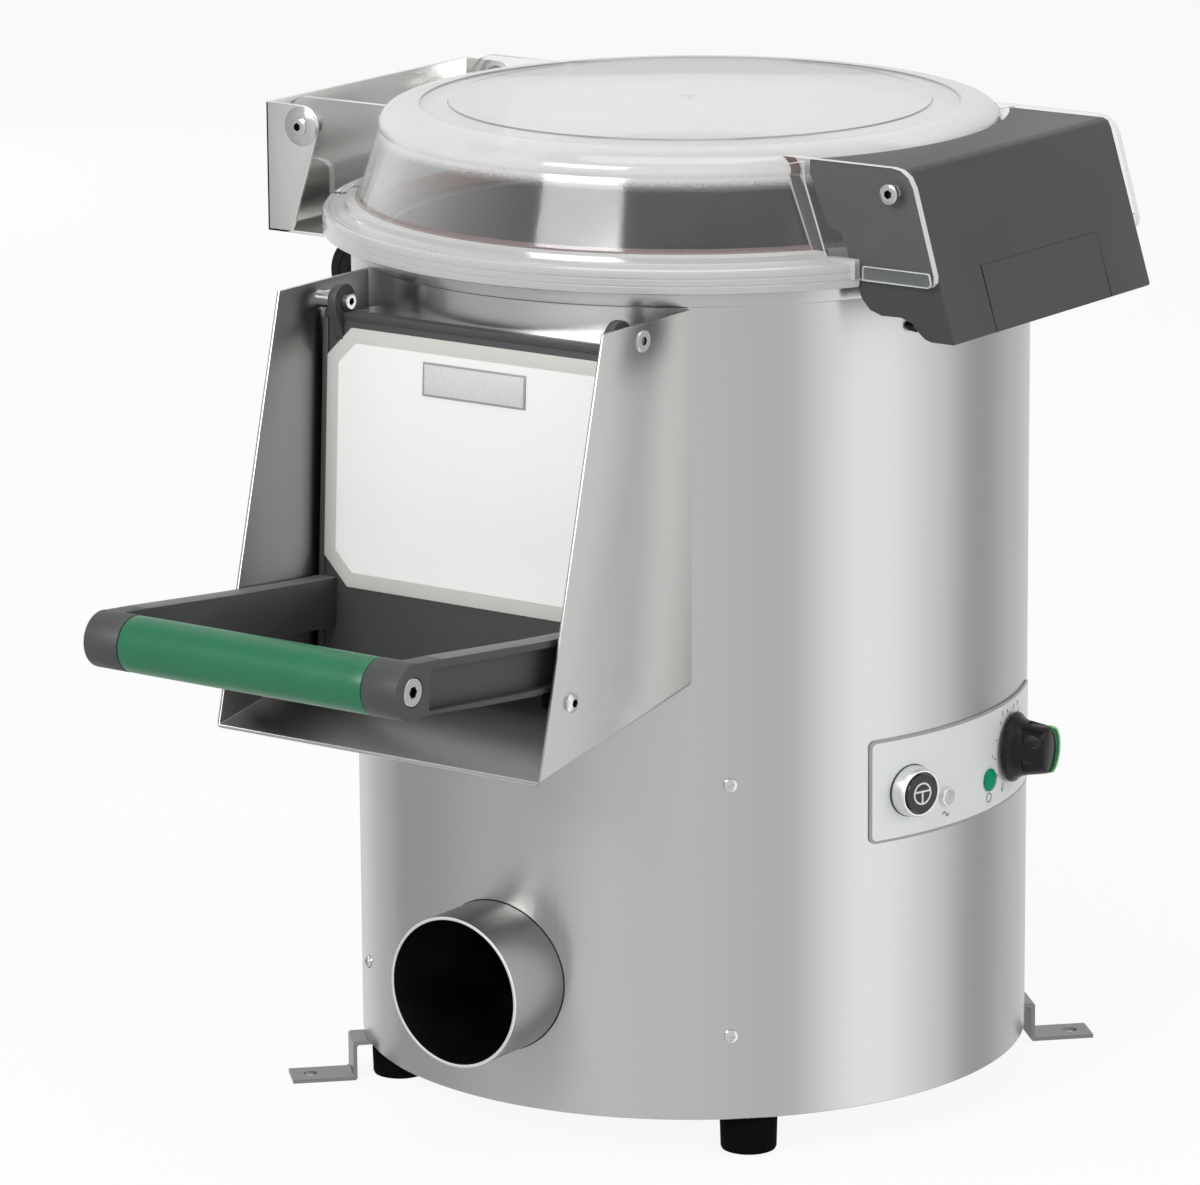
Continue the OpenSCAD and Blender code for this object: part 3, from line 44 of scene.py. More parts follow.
class Wire:
    # a shader socket that can stand in a sum
    def __init__(self, finish, socket):
        self.finish = finish
        self.socket = socket

    def calc(self, how, first, second):
        return self.finish.get("ShaderNodeMath", {"operation": how}, {0: first, 1: second})

    def __add__(self, other):
        return self.calc("ADD", self, other)

    def __radd__(self, other):
        return self.calc("ADD", other, self)

    def __sub__(self, other):
        return self.calc("SUBTRACT", self, other)

    def __rsub__(self, other):
        return self.calc("SUBTRACT", other, self)

    def __mul__(self, other):
        return self.calc("MULTIPLY", self, other)

    def __rmul__(self, other):
        return self.calc("MULTIPLY", other, self)

    def __truediv__(self, other):
        return self.calc("DIVIDE", self, other)

    def __pow__(self, other):
        return self.calc("POWER", self, other)


class Finish:
    # one material, or the world, and its node tree
    def __init__(self, name, look, world=None):
        self.material = world or bpy.data.materials.new(name)
        self.material.use_nodes = True
        if world is None:
            self.material.diffuse_color = (*look, 1)
        self.tree = self.material.node_tree
        self.tree.nodes.clear()

    def add(self, kind, settings=(), values=()):
        node = self.tree.nodes.new(kind)
        for key, value in dict(settings).items():
            if key == "stops":
                ramp = node.color_ramp
                while len(ramp.elements) < len(value):
                    ramp.elements.new(1.0)
                for stop, (place, shade) in zip(ramp.elements, value):
                    stop.position = place
                    stop.color = (shade, shade, shade, 1)
            else:
                setattr(node, key, value)
        for key, value in dict(values).items():
            if isinstance(value, Wire):
                self.tree.links.new(value.socket, node.inputs[key])
            else:
                node.inputs[key].default_value = value
        return node

    def get(self, kind, settings=(), values=(), output=0):
        return Wire(self, self.add(kind, settings, values).outputs[output])

    def place(self, scale=(1, 1, 1)):
        where = self.get("ShaderNodeTexCoord", output="Object")
        return self.get("ShaderNodeMapping", {}, {"Vector": where, "Scale": scale})

    def along(self, axis):
        return self.get("ShaderNodeSeparateXYZ", {}, {0: self.place()}, output=axis)

    def noise(self, where, scale, detail=3.0, rough=0.55):
        return self.get("ShaderNodeTexNoise", {"noise_dimensions": "3D"},
                        {"Vector": where, "Scale": scale, "Detail": detail, "Roughness": rough})

    def tint(self, share, dark, light):
        return self.get("ShaderNodeMix", {"data_type": "RGBA"},
                        {0: share, 6: (*dark, 1), 7: (*light, 1)}, output=2)

    def ramp(self, share, stops):
        return self.get("ShaderNodeValToRGB", {"stops": stops}, {0: share})

    def relief(self, height, strength, depth):
        return self.get("ShaderNodeBump", {}, {"Height": height, "Strength": strength,
                                               "Distance": depth})

    def ray(self, kind):
        return self.get("ShaderNodeLightPath", output=f"Is {kind} Ray")

    def close(self, values):
        shader = self.get("ShaderNodeBsdfPrincipled", {}, values)
        self.add("ShaderNodeOutputMaterial", {}, {"Surface": shader})
        return self.material


def brushedSteel(name, grain, tone, rough=0.27, depth=0.00001, turned=0.0, streak=1.0,
                 paintedFrontShade=None):
    steel = Finish(name, tone)
    fine = steel.noise(steel.place(scale=grain), 1.0, 3.0, 0.6)
    broad = steel.noise(steel.place(), 14.0, 2.0)
    dark, light = [tuple((1 + part * streak) * c for c in tone) for part in (-0.055, 0.045)]
    colour = steel.tint(fine * 0.8 + broad * 0.2, dark, light)
    if paintedFrontShade:  # painted shade: a sheet is darkened along its slanting front edge, standing in for the dimmer reflection there
        y, z, slope, reach, loss = paintedFrontShade
        depthIn = steel.along(1) - y - (steel.along(2) - z) * slope
        near = steel.ramp(depthIn / reach, ((0.0, 1.0), (1.0, 0.0)))
        colour = steel.get("ShaderNodeMix", {"data_type": "RGBA"},
                           {0: near * loss, 6: colour, 7: (0, 0, 0, 1)}, output=2)
    return steel.close({
        "Base Color": colour,
        "Metallic": 1.0,
        "Roughness": fine * (0.07 * streak) + broad * 0.05 + (rough - 0.06),
        "Anisotropic": turned,
        "Anisotropic Rotation": 0.25,
        "Normal": steel.relief(fine, 0.25, depth)})


def grained(name, tone, fine, broad, share, shades, rough, relief, fixed, patchy=0.0):
    # a fine grain over a broad cloud; share is the cloud's part in the colour
    made = Finish(name, tone)
    where = made.place()
    grain = made.noise(where, *fine)
    cloud = made.noise(where, *broad)
    dark, light = [tuple(shade * c for c in tone) for shade in shades]
    dull = grain * rough[0] + rough[1]
    return made.close({
        "Base Color": made.tint(cloud * share + grain * (1 - share), dark, light),
        "Roughness": dull + cloud * patchy if patchy else dull,
        "Normal": made.relief(grain, *relief), **fixed})


def moulded(name, tone, rough=0.42, scale=1400.0, strength=0.35, shine=0.5):
    return grained(name, tone, (scale, 2.0), (22.0, 3.0), 0.7, (0.82, 1.20), (0.14, rough - 0.12),
                   (strength, 0.00005), {"Specular IOR Level": shine}, patchy=0.10)


def softRubber(name, tone, rough):
    return grained(name, tone, (900.0, 3.0), (40.0, 4.0), 0.6, (0.7, 1.3), (0.16, rough - 0.06),
                   (0.3, 0.0001), {"Specular IOR Level": 0.05})


def gritCoat(name, tone):
    return grained(name, tone, (620.0, 4.0, 0.8), (30.0, 3.0), 0.25, (0.35, 2.2), (0.25, 0.6),
                   (0.9, 0.0008), {})


def castMetal(name, tone, rough=0.5):
    return grained(name, tone, (320.0, 4.0, 0.6), (18.0, 3.0), 0.6, (0.8, 1.15),
                   (0.2, rough - 0.08), (0.4, 0.0003), {"Metallic": 0.6})


def printed(name, tone, rough=0.32):
    return grained(name, tone, (700.0, 2.0), (9.0, 2.0), 0.8, (0.965, 1.0), (0.08, rough),
                   (0.05, 0.00003), {"Coat Weight": 0.15})


def clearMoulding(name, bodyShare, slantPaintedWhite, tone=(0.90, 0.91, 0.90), rings=False, paintedBand=False,
                  shine=0.04):
    # see-through where it is met square on; where it is met at a slant, a white body is painted
    # in as the reflection of the bright room
    clear = Finish(name, tone)
    smear = clear.noise(clear.place(), 30.0, 3.0)
    if rings:
        radius = clear.get("ShaderNodeVectorMath", {"operation": "LENGTH"},
                           {0: clear.place(scale=(1, 1, 0))}, output=1)
        smear = clear.noise(clear.get("ShaderNodeCombineXYZ", {}, {0: radius}), 900.0, 2.0)
    slant = clear.get("ShaderNodeLayerWeight", {}, {"Blend": 0.5}, output=1)
    through = clear.get("ShaderNodeBsdfTransparent", {}, {"Color": (0.97, 0.98, 0.975, 1)})
    body = clear.get("ShaderNodeBsdfPrincipled", {}, {
        "Base Color": clear.tint(smear, tuple((0.90 if rings else 0.95) * c for c in tone), tone),
        "Roughness": smear * 0.08 + 0.10})
    gloss = clear.get("ShaderNodeBsdfAnisotropic", {}, {"Color": (1, 1, 1, 1), "Roughness": 0.10})
    share = slant ** 2.0 * slantPaintedWhite + smear * 0.02 + bodyShare
    if paintedBand:
        # painted highlight: a white band is painted over the thick shoulder for 20 mm from 478 mm
        # up; its border is pebbly
        pebble = clear.noise(clear.place(), 1100.0, 2.0)
        bandShare = clear.ramp((clear.along(2) + pebble * 0.004 - 0.478) * 50.0,
                           ((0.16, 0.0), (0.27, 0.14), (0.42, 0.62), (0.60, 0.78), (0.80, 0.66),
                            (1.0, 0.54)))
        share = share + bandShare * (1.0 - share)
    bodyMix = clear.get("ShaderNodeMixShader", {}, {0: share, 1: through, 2: body})
    sheen = slant ** 4.0 * 0.55 + shine
    whole = clear.get("ShaderNodeMixShader", {}, {0: sheen, 1: bodyMix, 2: gloss})
    clear.add("ShaderNodeOutputMaterial", {}, {"Surface": whole})
    return clear.material


roundSteel = brushedSteel("steelRound", (1.5, 1.5, 1000), (0.56, 0.56, 0.55),
                          depth=0.000003, turned=0.75, streak=0.4)
sheetSteel = brushedSteel("steelSheet", (2, 2, 1000), (0.75, 0.75, 0.735), rough=0.28,
                          depth=0.000004, streak=0.5)
# painted shade: the chute's outside is darkened towards its slanting front edge
chuteOuter = brushedSteel("steelChuteOutside", (2, 2, 1000), (0.72, 0.72, 0.71), rough=0.28,
                          depth=0.000004, streak=0.5,
                          paintedFrontShade=(-0.2646, 0.2186, 0.2592, 0.048, 0.27))
# painted shade: a darker copy of the chute's steel for its inner faces and right front edge,
# where shade falls
chuteShadedSteel = brushedSteel("steelChuteInsidePaintedShade", (2, 2, 1000), (0.29, 0.29, 0.285), rough=0.30)
lugSteel = brushedSteel("steelLug", (90, 90, 300), (0.26, 0.26, 0.255), rough=0.32)
# painted shade: a near black copy of the lug steel for the lugs' faces that turn toward the
# casing
lugPaintedShade = brushedSteel("steelLugInsidePaintedShade", (90, 90, 300), (0.07, 0.07, 0.07), rough=0.40)
pipeSteel = brushedSteel("steelPipe", (3, 1000, 3), (0.32, 0.32, 0.315), rough=0.24)
cutSteel = brushedSteel("steelCut", (300, 300, 300), (0.90, 0.90, 0.89), rough=0.42)
plainSteel = brushedSteel("steelPlain", (260, 260, 260), (0.58, 0.58, 0.57), rough=0.26)
innerSteel = brushedSteel("steelInside", (5, 5, 1200), (0.62, 0.62, 0.61), rough=0.24)
boltSteel = brushedSteel("steelBolt", (400, 400, 400), (0.66, 0.66, 0.65), rough=0.17)
satinSteel = brushedSteel("steelSatin", (300, 300, 300), (0.84, 0.85, 0.86), rough=0.34)
# painted shade: a near black for the hollows of the hex sockets and the gap round the waste pipe
socketPaintedShade = castMetal("socketPaintedShade", (0.012, 0.012, 0.012), 0.6)
darkMoulding = moulded("mouldedDarkGrey", (0.044, 0.047, 0.048))
handleMoulding = moulded("mouldedHandleGrey", (0.048, 0.051, 0.052), rough=0.50)
# painted light: a lighter copy of the handle grey for the arms' upward faces, which catch more
# light
handleLitTop = moulded("mouldedHandleLitTop", (0.125, 0.133, 0.133), rough=0.50)
panelMoulding = moulded("mouldedPanel", (0.047, 0.050, 0.051), rough=0.55, scale=700.0,
                        strength=0.6)
greenSleeve = moulded("sleeveGreen", (0.010, 0.138, 0.062), rough=0.36, scale=500.0,
                      strength=0.15)
greenLamp = moulded("lampGreen", (0.0, 0.25, 0.13), rough=0.16, strength=0.05, shine=0.12)
# painted light and shade: a lit and a shaded copy of the knob's one green insert
greenLitInsert = moulded("insertGreen", (0.26, 0.66, 0.32), rough=0.35, strength=0.1)
greenShadedInsert = moulded("insertGreenPaintedShade", (0.006, 0.09, 0.03), rough=0.35, strength=0.1,
                     shine=0.15)
blackMoulding = moulded("mouldedBlack", (0.009, 0.009, 0.009), rough=0.27, shine=0.20)
blackGloss = moulded("capBlack", (0.010, 0.010, 0.010), rough=0.22, strength=0.1)
clearLid = clearMoulding("clearLid", 0.0, 0.85)
lidShoulderHighlight = clearMoulding("clearLidShoulderHighlight", 0.0, 0.85, (0.82, 0.82, 0.81), paintedBand=True)
lidEar = clearMoulding("clearLidEar", 0.0, 0.50, shine=0.010)
# partly the flange's own moulded rings, partly a painted highlight: the flange is painted milky
# white
lidRimAndSheen = clearMoulding("clearLidRimAndSheen", 0.72, 0.20, (0.61, 0.61, 0.60), rings=True)
# painted highlight: the ears' and ribs' edges are painted white, weaker on the hinge side's lower
# edges
lidEdgeHighlight = clearMoulding("clearLidEdgeHighlight", 0.80, 0.15, (0.82, 0.83, 0.82))
lidHemHighlight = clearMoulding("clearLidHemHighlight", 0.30, 0.25, (0.80, 0.81, 0.80))
# painted shade: a dark grey for the two ring steps on the lid's top
lidGrooveShade = clearMoulding("clearLidGrooveShade", 0.85, 0.10, (0.24, 0.24, 0.235))
# painted reflection: a pink tint on the lid's foot, for the red gasket seen through the plastic
lidFootPaintedGasket = clearMoulding("clearLidFootPaintedGasket", 0.40, 0.20, (0.40, 0.29, 0.295))
clearLens = clearMoulding("clearLens", 0.30, 0.50, (0.80, 0.80, 0.78))
footRubber = softRubber("rubberBlack", (0.003, 0.003, 0.003), 0.8)
gasketRubber = softRubber("gasketRed", (0.24, 0.085, 0.080), 0.45)
grit = gritCoat("gritDark", (0.10, 0.095, 0.09))
motorPaint = castMetal("motorPaint", (0.16, 0.18, 0.20))
pulleyMetal = castMetal("pulleyMetal", (0.40, 0.40, 0.41), 0.4)
labelWhite = printed("labelWhite", (0.84, 0.85, 0.83))
labelGrey = printed("labelGrey", (0.56, 0.56, 0.53))
stripSilver = printed("stripSilver", (0.73, 0.745, 0.75))
stripLine = printed("stripLine", (0.31, 0.32, 0.32))
markBlack = printed("markBlack", (0.02, 0.02, 0.02))
markWhite = printed("markWhite", (0.72, 0.72, 0.70))
badgeSilver = printed("badgeSilver", (0.62, 0.62, 0.61), 0.24)
whiteNylon = moulded("nylonWhite", (0.70, 0.70, 0.68), rough=0.4, strength=0.1)
print("finishes made:", len(bpy.data.materials))


def mm(*values):
    return Vector([v * thousandth for v in values])


def shift(x, y, z):
    return Matrix.Translation(mm(x, y, z))


def rotated(angle, axis="Z"):
    return Matrix.Rotation(math.radians(angle), 4, axis)


def outward(azimuth, height):
    # +Z of the piece points out of the casing at this angle and height
    return rotated(azimuth) @ shift(0, 0, height) @ rotated(90, "X")


def sideways(x, y, z, right=True):
    # +Z of the piece points along +X, or along -X on the left side
    return shift(x, y, z) @ rotated(90 if right else -90, "Y")


def forward(x, y, z, back=False):
    # +Z of the piece points along -Y, or along +Y
    return shift(x, y, z) @ rotated(-90 if back else 90, "X")


def moved(bm, matrix):
    bmesh.ops.transform(bm, matrix=matrix, verts=bm.verts)
    return bm


def vertsOf(geom):
    return [g for g in geom if isinstance(g, bmesh.types.BMVert)]


def edgesOf(geom):
    return [g for g in geom if isinstance(g, bmesh.types.BMEdge)]


def halved(bm, spot, way, outer=False):
    # cuts every face at a plane, and drops what lies beyond it where outer is set
    bmesh.ops.bisect_plane(bm, geom=bm.verts[:] + bm.edges[:] + bm.faces[:], plane_co=spot,
                           plane_no=way, clear_outer=outer)


def shown(name, data):
    # a new object in the scene
    made = bpy.data.objects.new(name, data)
    bpy.context.scene.collection.objects.link(made)
    return made


def evaluated(holder):
    # the shape that an object has after its modifiers
    graph = bpy.context.evaluated_depsgraph_get()
    mesh = bpy.data.meshes.new_from_object(holder.evaluated_get(graph))
    bm = bmesh.new()
    bm.from_mesh(mesh)
    bpy.data.meshes.remove(mesh)
    return bm


def spun(profile, steps):
    # profile is a run of (radius, height) in millimetres, turned about Z; it is closed, unless
    # both its ends lie on the axis
    bm = bmesh.new()
    points = [bm.verts.new(mm(r, 0, z)) for r, z in profile]
    ends = [(points[-1], points[0])] if profile[0][0] or profile[-1][0] else []
    for a, b in list(zip(points, points[1:])) + ends:
        if (a.co - b.co).length > 1e-9:
            bm.edges.new((a, b))
    bmesh.ops.spin(bm, geom=bm.verts[:] + bm.edges[:], cent=(0, 0, 0), axis=(0, 0, 1),
                   angle=turn, steps=steps, use_merge=True)
    bmesh.ops.remove_doubles(bm, verts=bm.verts, dist=2e-6)
    bmesh.ops.recalc_face_normals(bm, faces=bm.faces)
    return bm


def rounded(bm, geom, width, segments, affect="EDGES"):
    bmesh.ops.bevel(bm, geom=geom, offset=width * thousandth, segments=segments, affect=affect,
                    profile=0.5, material=-1, clamp_overlap=True)


def softened(bm, width, segments=2, least=25):
    # rounds every edge that turns by more than the least angle
    rounded(bm, [e for e in bm.edges if len(e.link_faces) == 2
                 and e.calc_face_angle(0) > math.radians(least)], width, segments)
    return bm


def slab(outline, along, low, high, corner=0.0, cornerSteps=4):
    # outline in the two axes other than along, in their X, Y, Z order
    spot = {"X": lambda a, b, c: mm(c, a, b), "Y": lambda a, b, c: mm(a, c, b), "Z": mm}[along]
    bm = bmesh.new()
    bm.faces.new([bm.verts.new(spot(a, b, low)) for a, b in outline])
    if corner:
        rounded(bm, bm.verts[:], corner, cornerSteps, "VERTICES")
    made = bmesh.ops.extrude_face_region(bm, geom=bm.faces[:])
    bmesh.ops.translate(bm, vec=spot(0, 0, high - low), verts=vertsOf(made["geom"]))
    bmesh.ops.recalc_face_normals(bm, faces=bm.faces)
    return bm


def brick(low, high, width=0.0):
    bm = bmesh.new()
    bmesh.ops.create_cube(bm, size=1.0)
    middle = [(a + b) / 2 for a, b in zip(low, high)]
    bmesh.ops.scale(bm, vec=mm(*[b - a for a, b in zip(low, high)]), verts=bm.verts)
    bmesh.ops.translate(bm, vec=mm(*middle), verts=bm.verts)
    if width:
        softened(bm, width)
    return bm


def rod(radius, start, end, edge=0.0, steps=48):
    # a round bar about Z, with its rims rounded
    e = edge or 0.001
    return spun([(0, start), (radius - e, start), (radius - 0.3 * e, start + 0.3 * e),
                 (radius, start + e), (radius, end - e), (radius - 0.3 * e, end - 0.3 * e),
                 (radius - e, end), (0, end)], steps)


def tube(outer, inner, start, end, edge=0.3, steps=64):
    return spun([(inner, start + edge), (inner + edge, start), (outer - edge, start),
                 (outer, start + edge), (outer, end - edge), (outer - edge, end),
                 (inner + edge, end), (inner, end - edge)], steps)


def mirrored(bm, axis="X"):
    # the same shape on the other side
    other = bm.copy()
    flip = {"X": (-1, 1, 1), "Y": (1, -1, 1)}[axis]
    bmesh.ops.scale(other, vec=flip, verts=other.verts)
    bmesh.ops.reverse_faces(other, faces=other.faces)
    return other


def pairOf(shape, axis="X"):
    return [mirrored(shape, axis), shape]


def addTo(whole, shape):
    holder = bpy.data.meshes.new("holder")
    shape.to_mesh(holder)
    whole.from_mesh(holder)
    bpy.data.meshes.remove(holder)
    shape.free()


def merged(*shapes):
    whole = bmesh.new()
    for shape in shapes:
        addTo(whole, shape)
    return whole


def joinedShape(bm, other, how):
    # cuts, joins or keeps what two closed shapes share
    pair = []
    for shape in (bm, other):
        mesh = bpy.data.meshes.new("holder")
        shape.to_mesh(mesh)
        shape.free()
        pair.append(shown("holder", mesh))
    tool = pair[0].modifiers.new("cut", "BOOLEAN")
    tool.operation = how
    tool.object = pair[1]
    tool.solver = "EXACT"
    result = evaluated(pair[0])
    for holder in pair:
        mesh = holder.data
        bpy.data.objects.remove(holder)
        bpy.data.meshes.remove(mesh)
    return result


def cut(bm, other):
    return joinedShape(bm, other, "DIFFERENCE")


def fused(bm, other):
    return joinedShape(bm, other, "UNION")


def piece(name, body, parts, replaced=(), smooth=32):
    # parts is a list of (shape, material), with pairs of (other material, its faces) after them
    mesh = bpy.data.meshes.new(name)
    whole = bmesh.new()
    for shape, material, *marked in parts:
        picked = [(other, [f for f in shape.faces if chosen(f)]) for other, chosen in marked]
        for other, faces in [(material, shape.faces)] + picked:
            mesh.materials.append(other)
            for face in faces:
                face.material_index = len(mesh.materials) - 1
        addTo(whole, shape)
    whole.to_mesh(mesh)
    whole.free()
    mesh.polygons.foreach_set("use_smooth", [True] * len(mesh.polygons))
    mesh.set_sharp_from_angle(angle=math.radians(smooth))
    made = shown(name, mesh)
    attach(made, body)
    if replaced:
        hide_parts(*replaced)


def spotOf(face):
    # a face's middle in millimetres
    return face.calc_center_median() / thousandth


def narrow(face):
    # the cut edge of a sheet of 1.5 mm
    return face.calc_area() < 1.7 * thousandth * max(edge.calc_length() for edge in face.edges)


def hexagon(radius, depth):
    bm = bmesh.new()
    bmesh.ops.create_cone(bm, cap_ends=True, segments=6, radius1=radius * thousandth,
                          radius2=radius * thousandth, depth=depth * thousandth)
    return bm


def socketHead(radius, height, hexWidth, domed=0.0):
    # a screw head about Z with a hexagon socket and a stub of its shank; its seat is at z = 0
    head = spun([(0, -3), (2.6, -3), (2.6, 0), (radius - 0.15, 0), (radius, 0.15),
                 (radius, height - domed - 0.2), (radius - 0.25, height - domed),
                 (radius * 0.72, height - domed * 0.35), (radius * 0.5, height), (0, height)], 40)
    head = cut(head, moved(hexagon(hexWidth / 1.732, 6), shift(0, 0, height + 0.4)))
    for face in head.faces:  # the socket's own faces are marked, for a painted shade in the hollow
        spot = spotOf(face)
        face.material_index = int(math.hypot(spot.x, spot.y) < hexWidth * 0.58 + 0.05
                                  and height - 2.7 < spot.z < height - 0.25)
    return head


def screwAt(base, seat, head, shank, steps=32):
    # a head whose seat stands off the base along its +Z, and the shank under it
    return [moved(socketHead(*head), base @ shift(0, 0, seat)), moved(rod(*shank, steps), base)]


def screwPiece(name, body, shapes, node):
    piece(name, body, [(merged(*shapes), boltSteel,
                                 (socketPaintedShade, lambda face: face.material_index == 1))], [node])


def crossHead(radius, height):
    head = spun([(0, 0), (radius, 0), (radius, 0.35), (radius * 0.92, height * 0.55),
                 (radius * 0.6, height * 0.9), (0, height)], 32)
    long, thin = radius * 0.55, radius * 0.11
    for x, y in ((long, thin), (thin, long)):
        head = cut(head, brick((-x, -y, height - 0.9), (x, y, height + 1)))
    return head


casingSizes = dict(radius=170, sheet=1.5, low=20.6, high=432.6, openHalf=79, openLow=251,
                   openHigh=411, pipeRadius=37.85, pipeHeight=86)


def makeCasing(s):
    r, t = s["radius"], s["sheet"]
    wall = spun([(r - t, s["low"] + 0.4), (r - t + 0.4, s["low"]), (r - 0.4, s["low"]),
                 (r, s["low"] + 0.4), (r, s["high"]), (r - t, s["high"])], 180)
    wall = cut(wall, brick((-s["openHalf"], -r - 20, s["openLow"]),
                           (s["openHalf"], -r / 2, s["openHigh"])))
    wall = cut(wall, moved(rod(s["pipeRadius"], 100, 200, steps=64),
                           forward(0, 0, s["pipeHeight"])))
    seam = moved(slab([(-0.6, -r - 0.05), (0.6, -r - 0.05), (0.6, -r + 1), (-0.6, -r + 1)],
                      "Z", s["low"] + 1, s["high"] - 8), rotated(180))
    piece("casingWall", "machine", [(wall, roundSteel), (seam, plainSteel)], ["casing"])


rimSizes = dict(casing=170, out=172, bore=151.6, low=426.6, under=432.7, top=434.6)


def makeRim(s):
    c, r, b, z = s["casing"], s["out"], s["bore"], s["top"]
    rim = spun([(c, s["low"] + 0.2), (r - 0.6, s["low"]), (r - 0.15, s["low"] + 0.5),
                (r, 428.0), (r, 432.4), (r - 0.2, 433.6), (r - 0.8, 434.4), (c + 0.2, z),
                (b + 0.6, z), (b, z - 0.4), (b, s["under"]), (c, s["under"])], 180)
    piece("rolledRim", "machine", [(rim, roundSteel)], ["casing_rim"])


screwSizes = dict(angles=(41, 139, 221, 319), heights=(63.4, 190.5), head=3.5, headHeight=1.9,
                  shank=1.7, seat=169.9)


def makeCasingScrews(s):
    heads = []
    for azimuth in s["angles"]:
        for height in s["heights"]:
            head = merged(crossHead(s["head"], s["headHeight"]),
                          rod(s["shank"], -5.5, 0.3, 0.2, 16))
            turned = rotated(azimuth * 7 + height)  # no two crosses stand alike
            heads.append(moved(head, outward(azimuth, height) @ shift(0, 0, s["seat"]) @ turned))
    piece("casingScrews", "machine", [(merged(*heads), boltSteel)], ["casing_screws"])


footSizes = dict(radius=14.5, circle=152.5, height=20.6, lug=2.0)


def makeFeet(s):
    feet = []
    for i in range(4):
        top = s["height"] - (s["lug"] if i % 2 else 0)  # a lug lies on every second foot
        r = s["radius"]
        foot = spun([(6, 0.6), (6.6, 0), (r - 2.4, 0), (r - 1.1, 0.5), (r - 0.6, 1.6),
                     (r - 0.1, top - 1.2), (r - 0.3, top - 0.4), (r - 1.0, top), (6, top)], 48)
        feet.append(moved(foot, rotated(45 + 90 * i) @ shift(0, -s["circle"], 0)))
    piece("rubberFeet", "machine", [(merged(*feet), footRubber)], ["feet"])


lugSizes = dict(width=20, sheet=2.0, upright=176, reach=209, top=20.6, under=138.5, bend=1.4,
                hole=3.5, holeAt=199)


def makeLugs(s):
    lugs = []
    u, t, top, reach, under = s["upright"], s["sheet"], s["top"], s["reach"], s["under"]
    for i in (1, 3):
        strip = slab([(-under, top), (-u - t, top), (-u - t, t), (-reach, t), (-reach, 0),
                      (-u, 0), (-u, top - t), (-under, top - t)],
                     "X", -s["width"] / 2, s["width"] / 2)
        bends = [e for e in strip.edges if abs(e.verts[0].co.x - e.verts[1].co.x) > 0.01
                 and (abs(e.verts[0].co.y + u * thousandth) < 0.0025)]
        rounded(strip, bends, s["bend"], 4)
        hole = moved(rod(s["hole"], -5, 5, steps=32), shift(0, -s["holeAt"], 0))
        lugs.append(moved(cut(strip, hole), rotated(45 + 90 * i)))

    # painted shade: faces that turn toward the casing take the near black copy
    def inward(face):
        spot = spotOf(face)
        return face.normal.x * spot.x + face.normal.y * spot.y < -0.9 * math.hypot(spot.x, spot.y)

    piece("fixingAngles", "machine",
          [(merged(*lugs), lugSteel, (lugPaintedShade, inward))], ["fixing_lugs"])


pipeSizes = dict(radius=38.0, wall=1.6, mouth=-205.7, height=86, bend=44, drop=-104, top=206,
                 casing=170.12)


def makePipe(s):
    bm = bmesh.new()
    bmesh.ops.create_circle(bm, cap_ends=False, segments=72, radius=s["radius"] * thousandth)
    moved(bm, forward(0, s["mouth"], s["height"]))
    front = s["drop"] - s["bend"]
    run = bmesh.ops.extrude_edge_only(bm, edges=bm.edges[:])["geom"]
    verts = vertsOf(run)
    bmesh.ops.translate(bm, vec=mm(0, front - s["mouth"], 0), verts=verts)
    edges = [e for e in edgesOf(run) if all(v in verts for v in e.verts)]
    bend = bmesh.ops.spin(bm, geom=verts + edges, cent=mm(0, front, s["height"] + s["bend"]),
                          axis=(1, 0, 0), angle=turn / 4, steps=16)
    rise = bmesh.ops.extrude_edge_only(bm, edges=edgesOf(bend["geom_last"]))["geom"]
    bmesh.ops.translate(bm, vec=mm(0, 0, s["top"] - s["height"] - s["bend"]),
                        verts=vertsOf(rise))
    bmesh.ops.remove_doubles(bm, verts=bm.verts, dist=2e-6)
    bmesh.ops.recalc_face_normals(bm, faces=bm.faces)
    middle = bm.faces[:][0]
    outwards = middle.calc_center_median() - mm(0, s["mouth"], s["height"])
    if middle.normal.dot(Vector((outwards.x, 0, outwards.z))) < 0:
        bmesh.ops.reverse_faces(bm, faces=bm.faces)
    bmesh.ops.solidify(bm, geom=bm.faces[:], thickness=s["wall"] * thousandth)
    bmesh.ops.recalc_face_normals(bm, faces=bm.faces)
    softened(bm, 0.4, 2, 60)
    # painted shadow: a thin dark ring round the pipe where it goes into the casing, for the shade
    # in the gap
    gapShadow = moved(tube(s["radius"] + 0.45, s["radius"] - 0.1, 130, 174, 0.05, 96),
                  forward(0, 0, s["height"]))
    gapShadow = joinedShape(gapShadow, rod(s["casing"], 30, 140, steps=180), "INTERSECT")

    def atMouth(face):
        return spotOf(face).y < s["mouth"] + 0.5

    piece("wasteTube", "machine",
          [(bm, pipeSteel, (cutSteel, atMouth)), (gapShadow, socketPaintedShade)], ["waste_pipe"])


makeCasing(casingSizes)
makeRim(rimSizes)
makeCasingScrews(screwSizes)
makeFeet(footSizes)
makeLugs(lugSizes)
makePipe(pipeSizes)
print("casing made")


chuteSizes = dict(half=97, sheet=1.5, lowY=-264.6, lowZ=218.6, topY=-211, topZ=425.4,
                  meetY=-170, meetZ=235.1, back=-79.6, casing=170.05, bend=2.6)


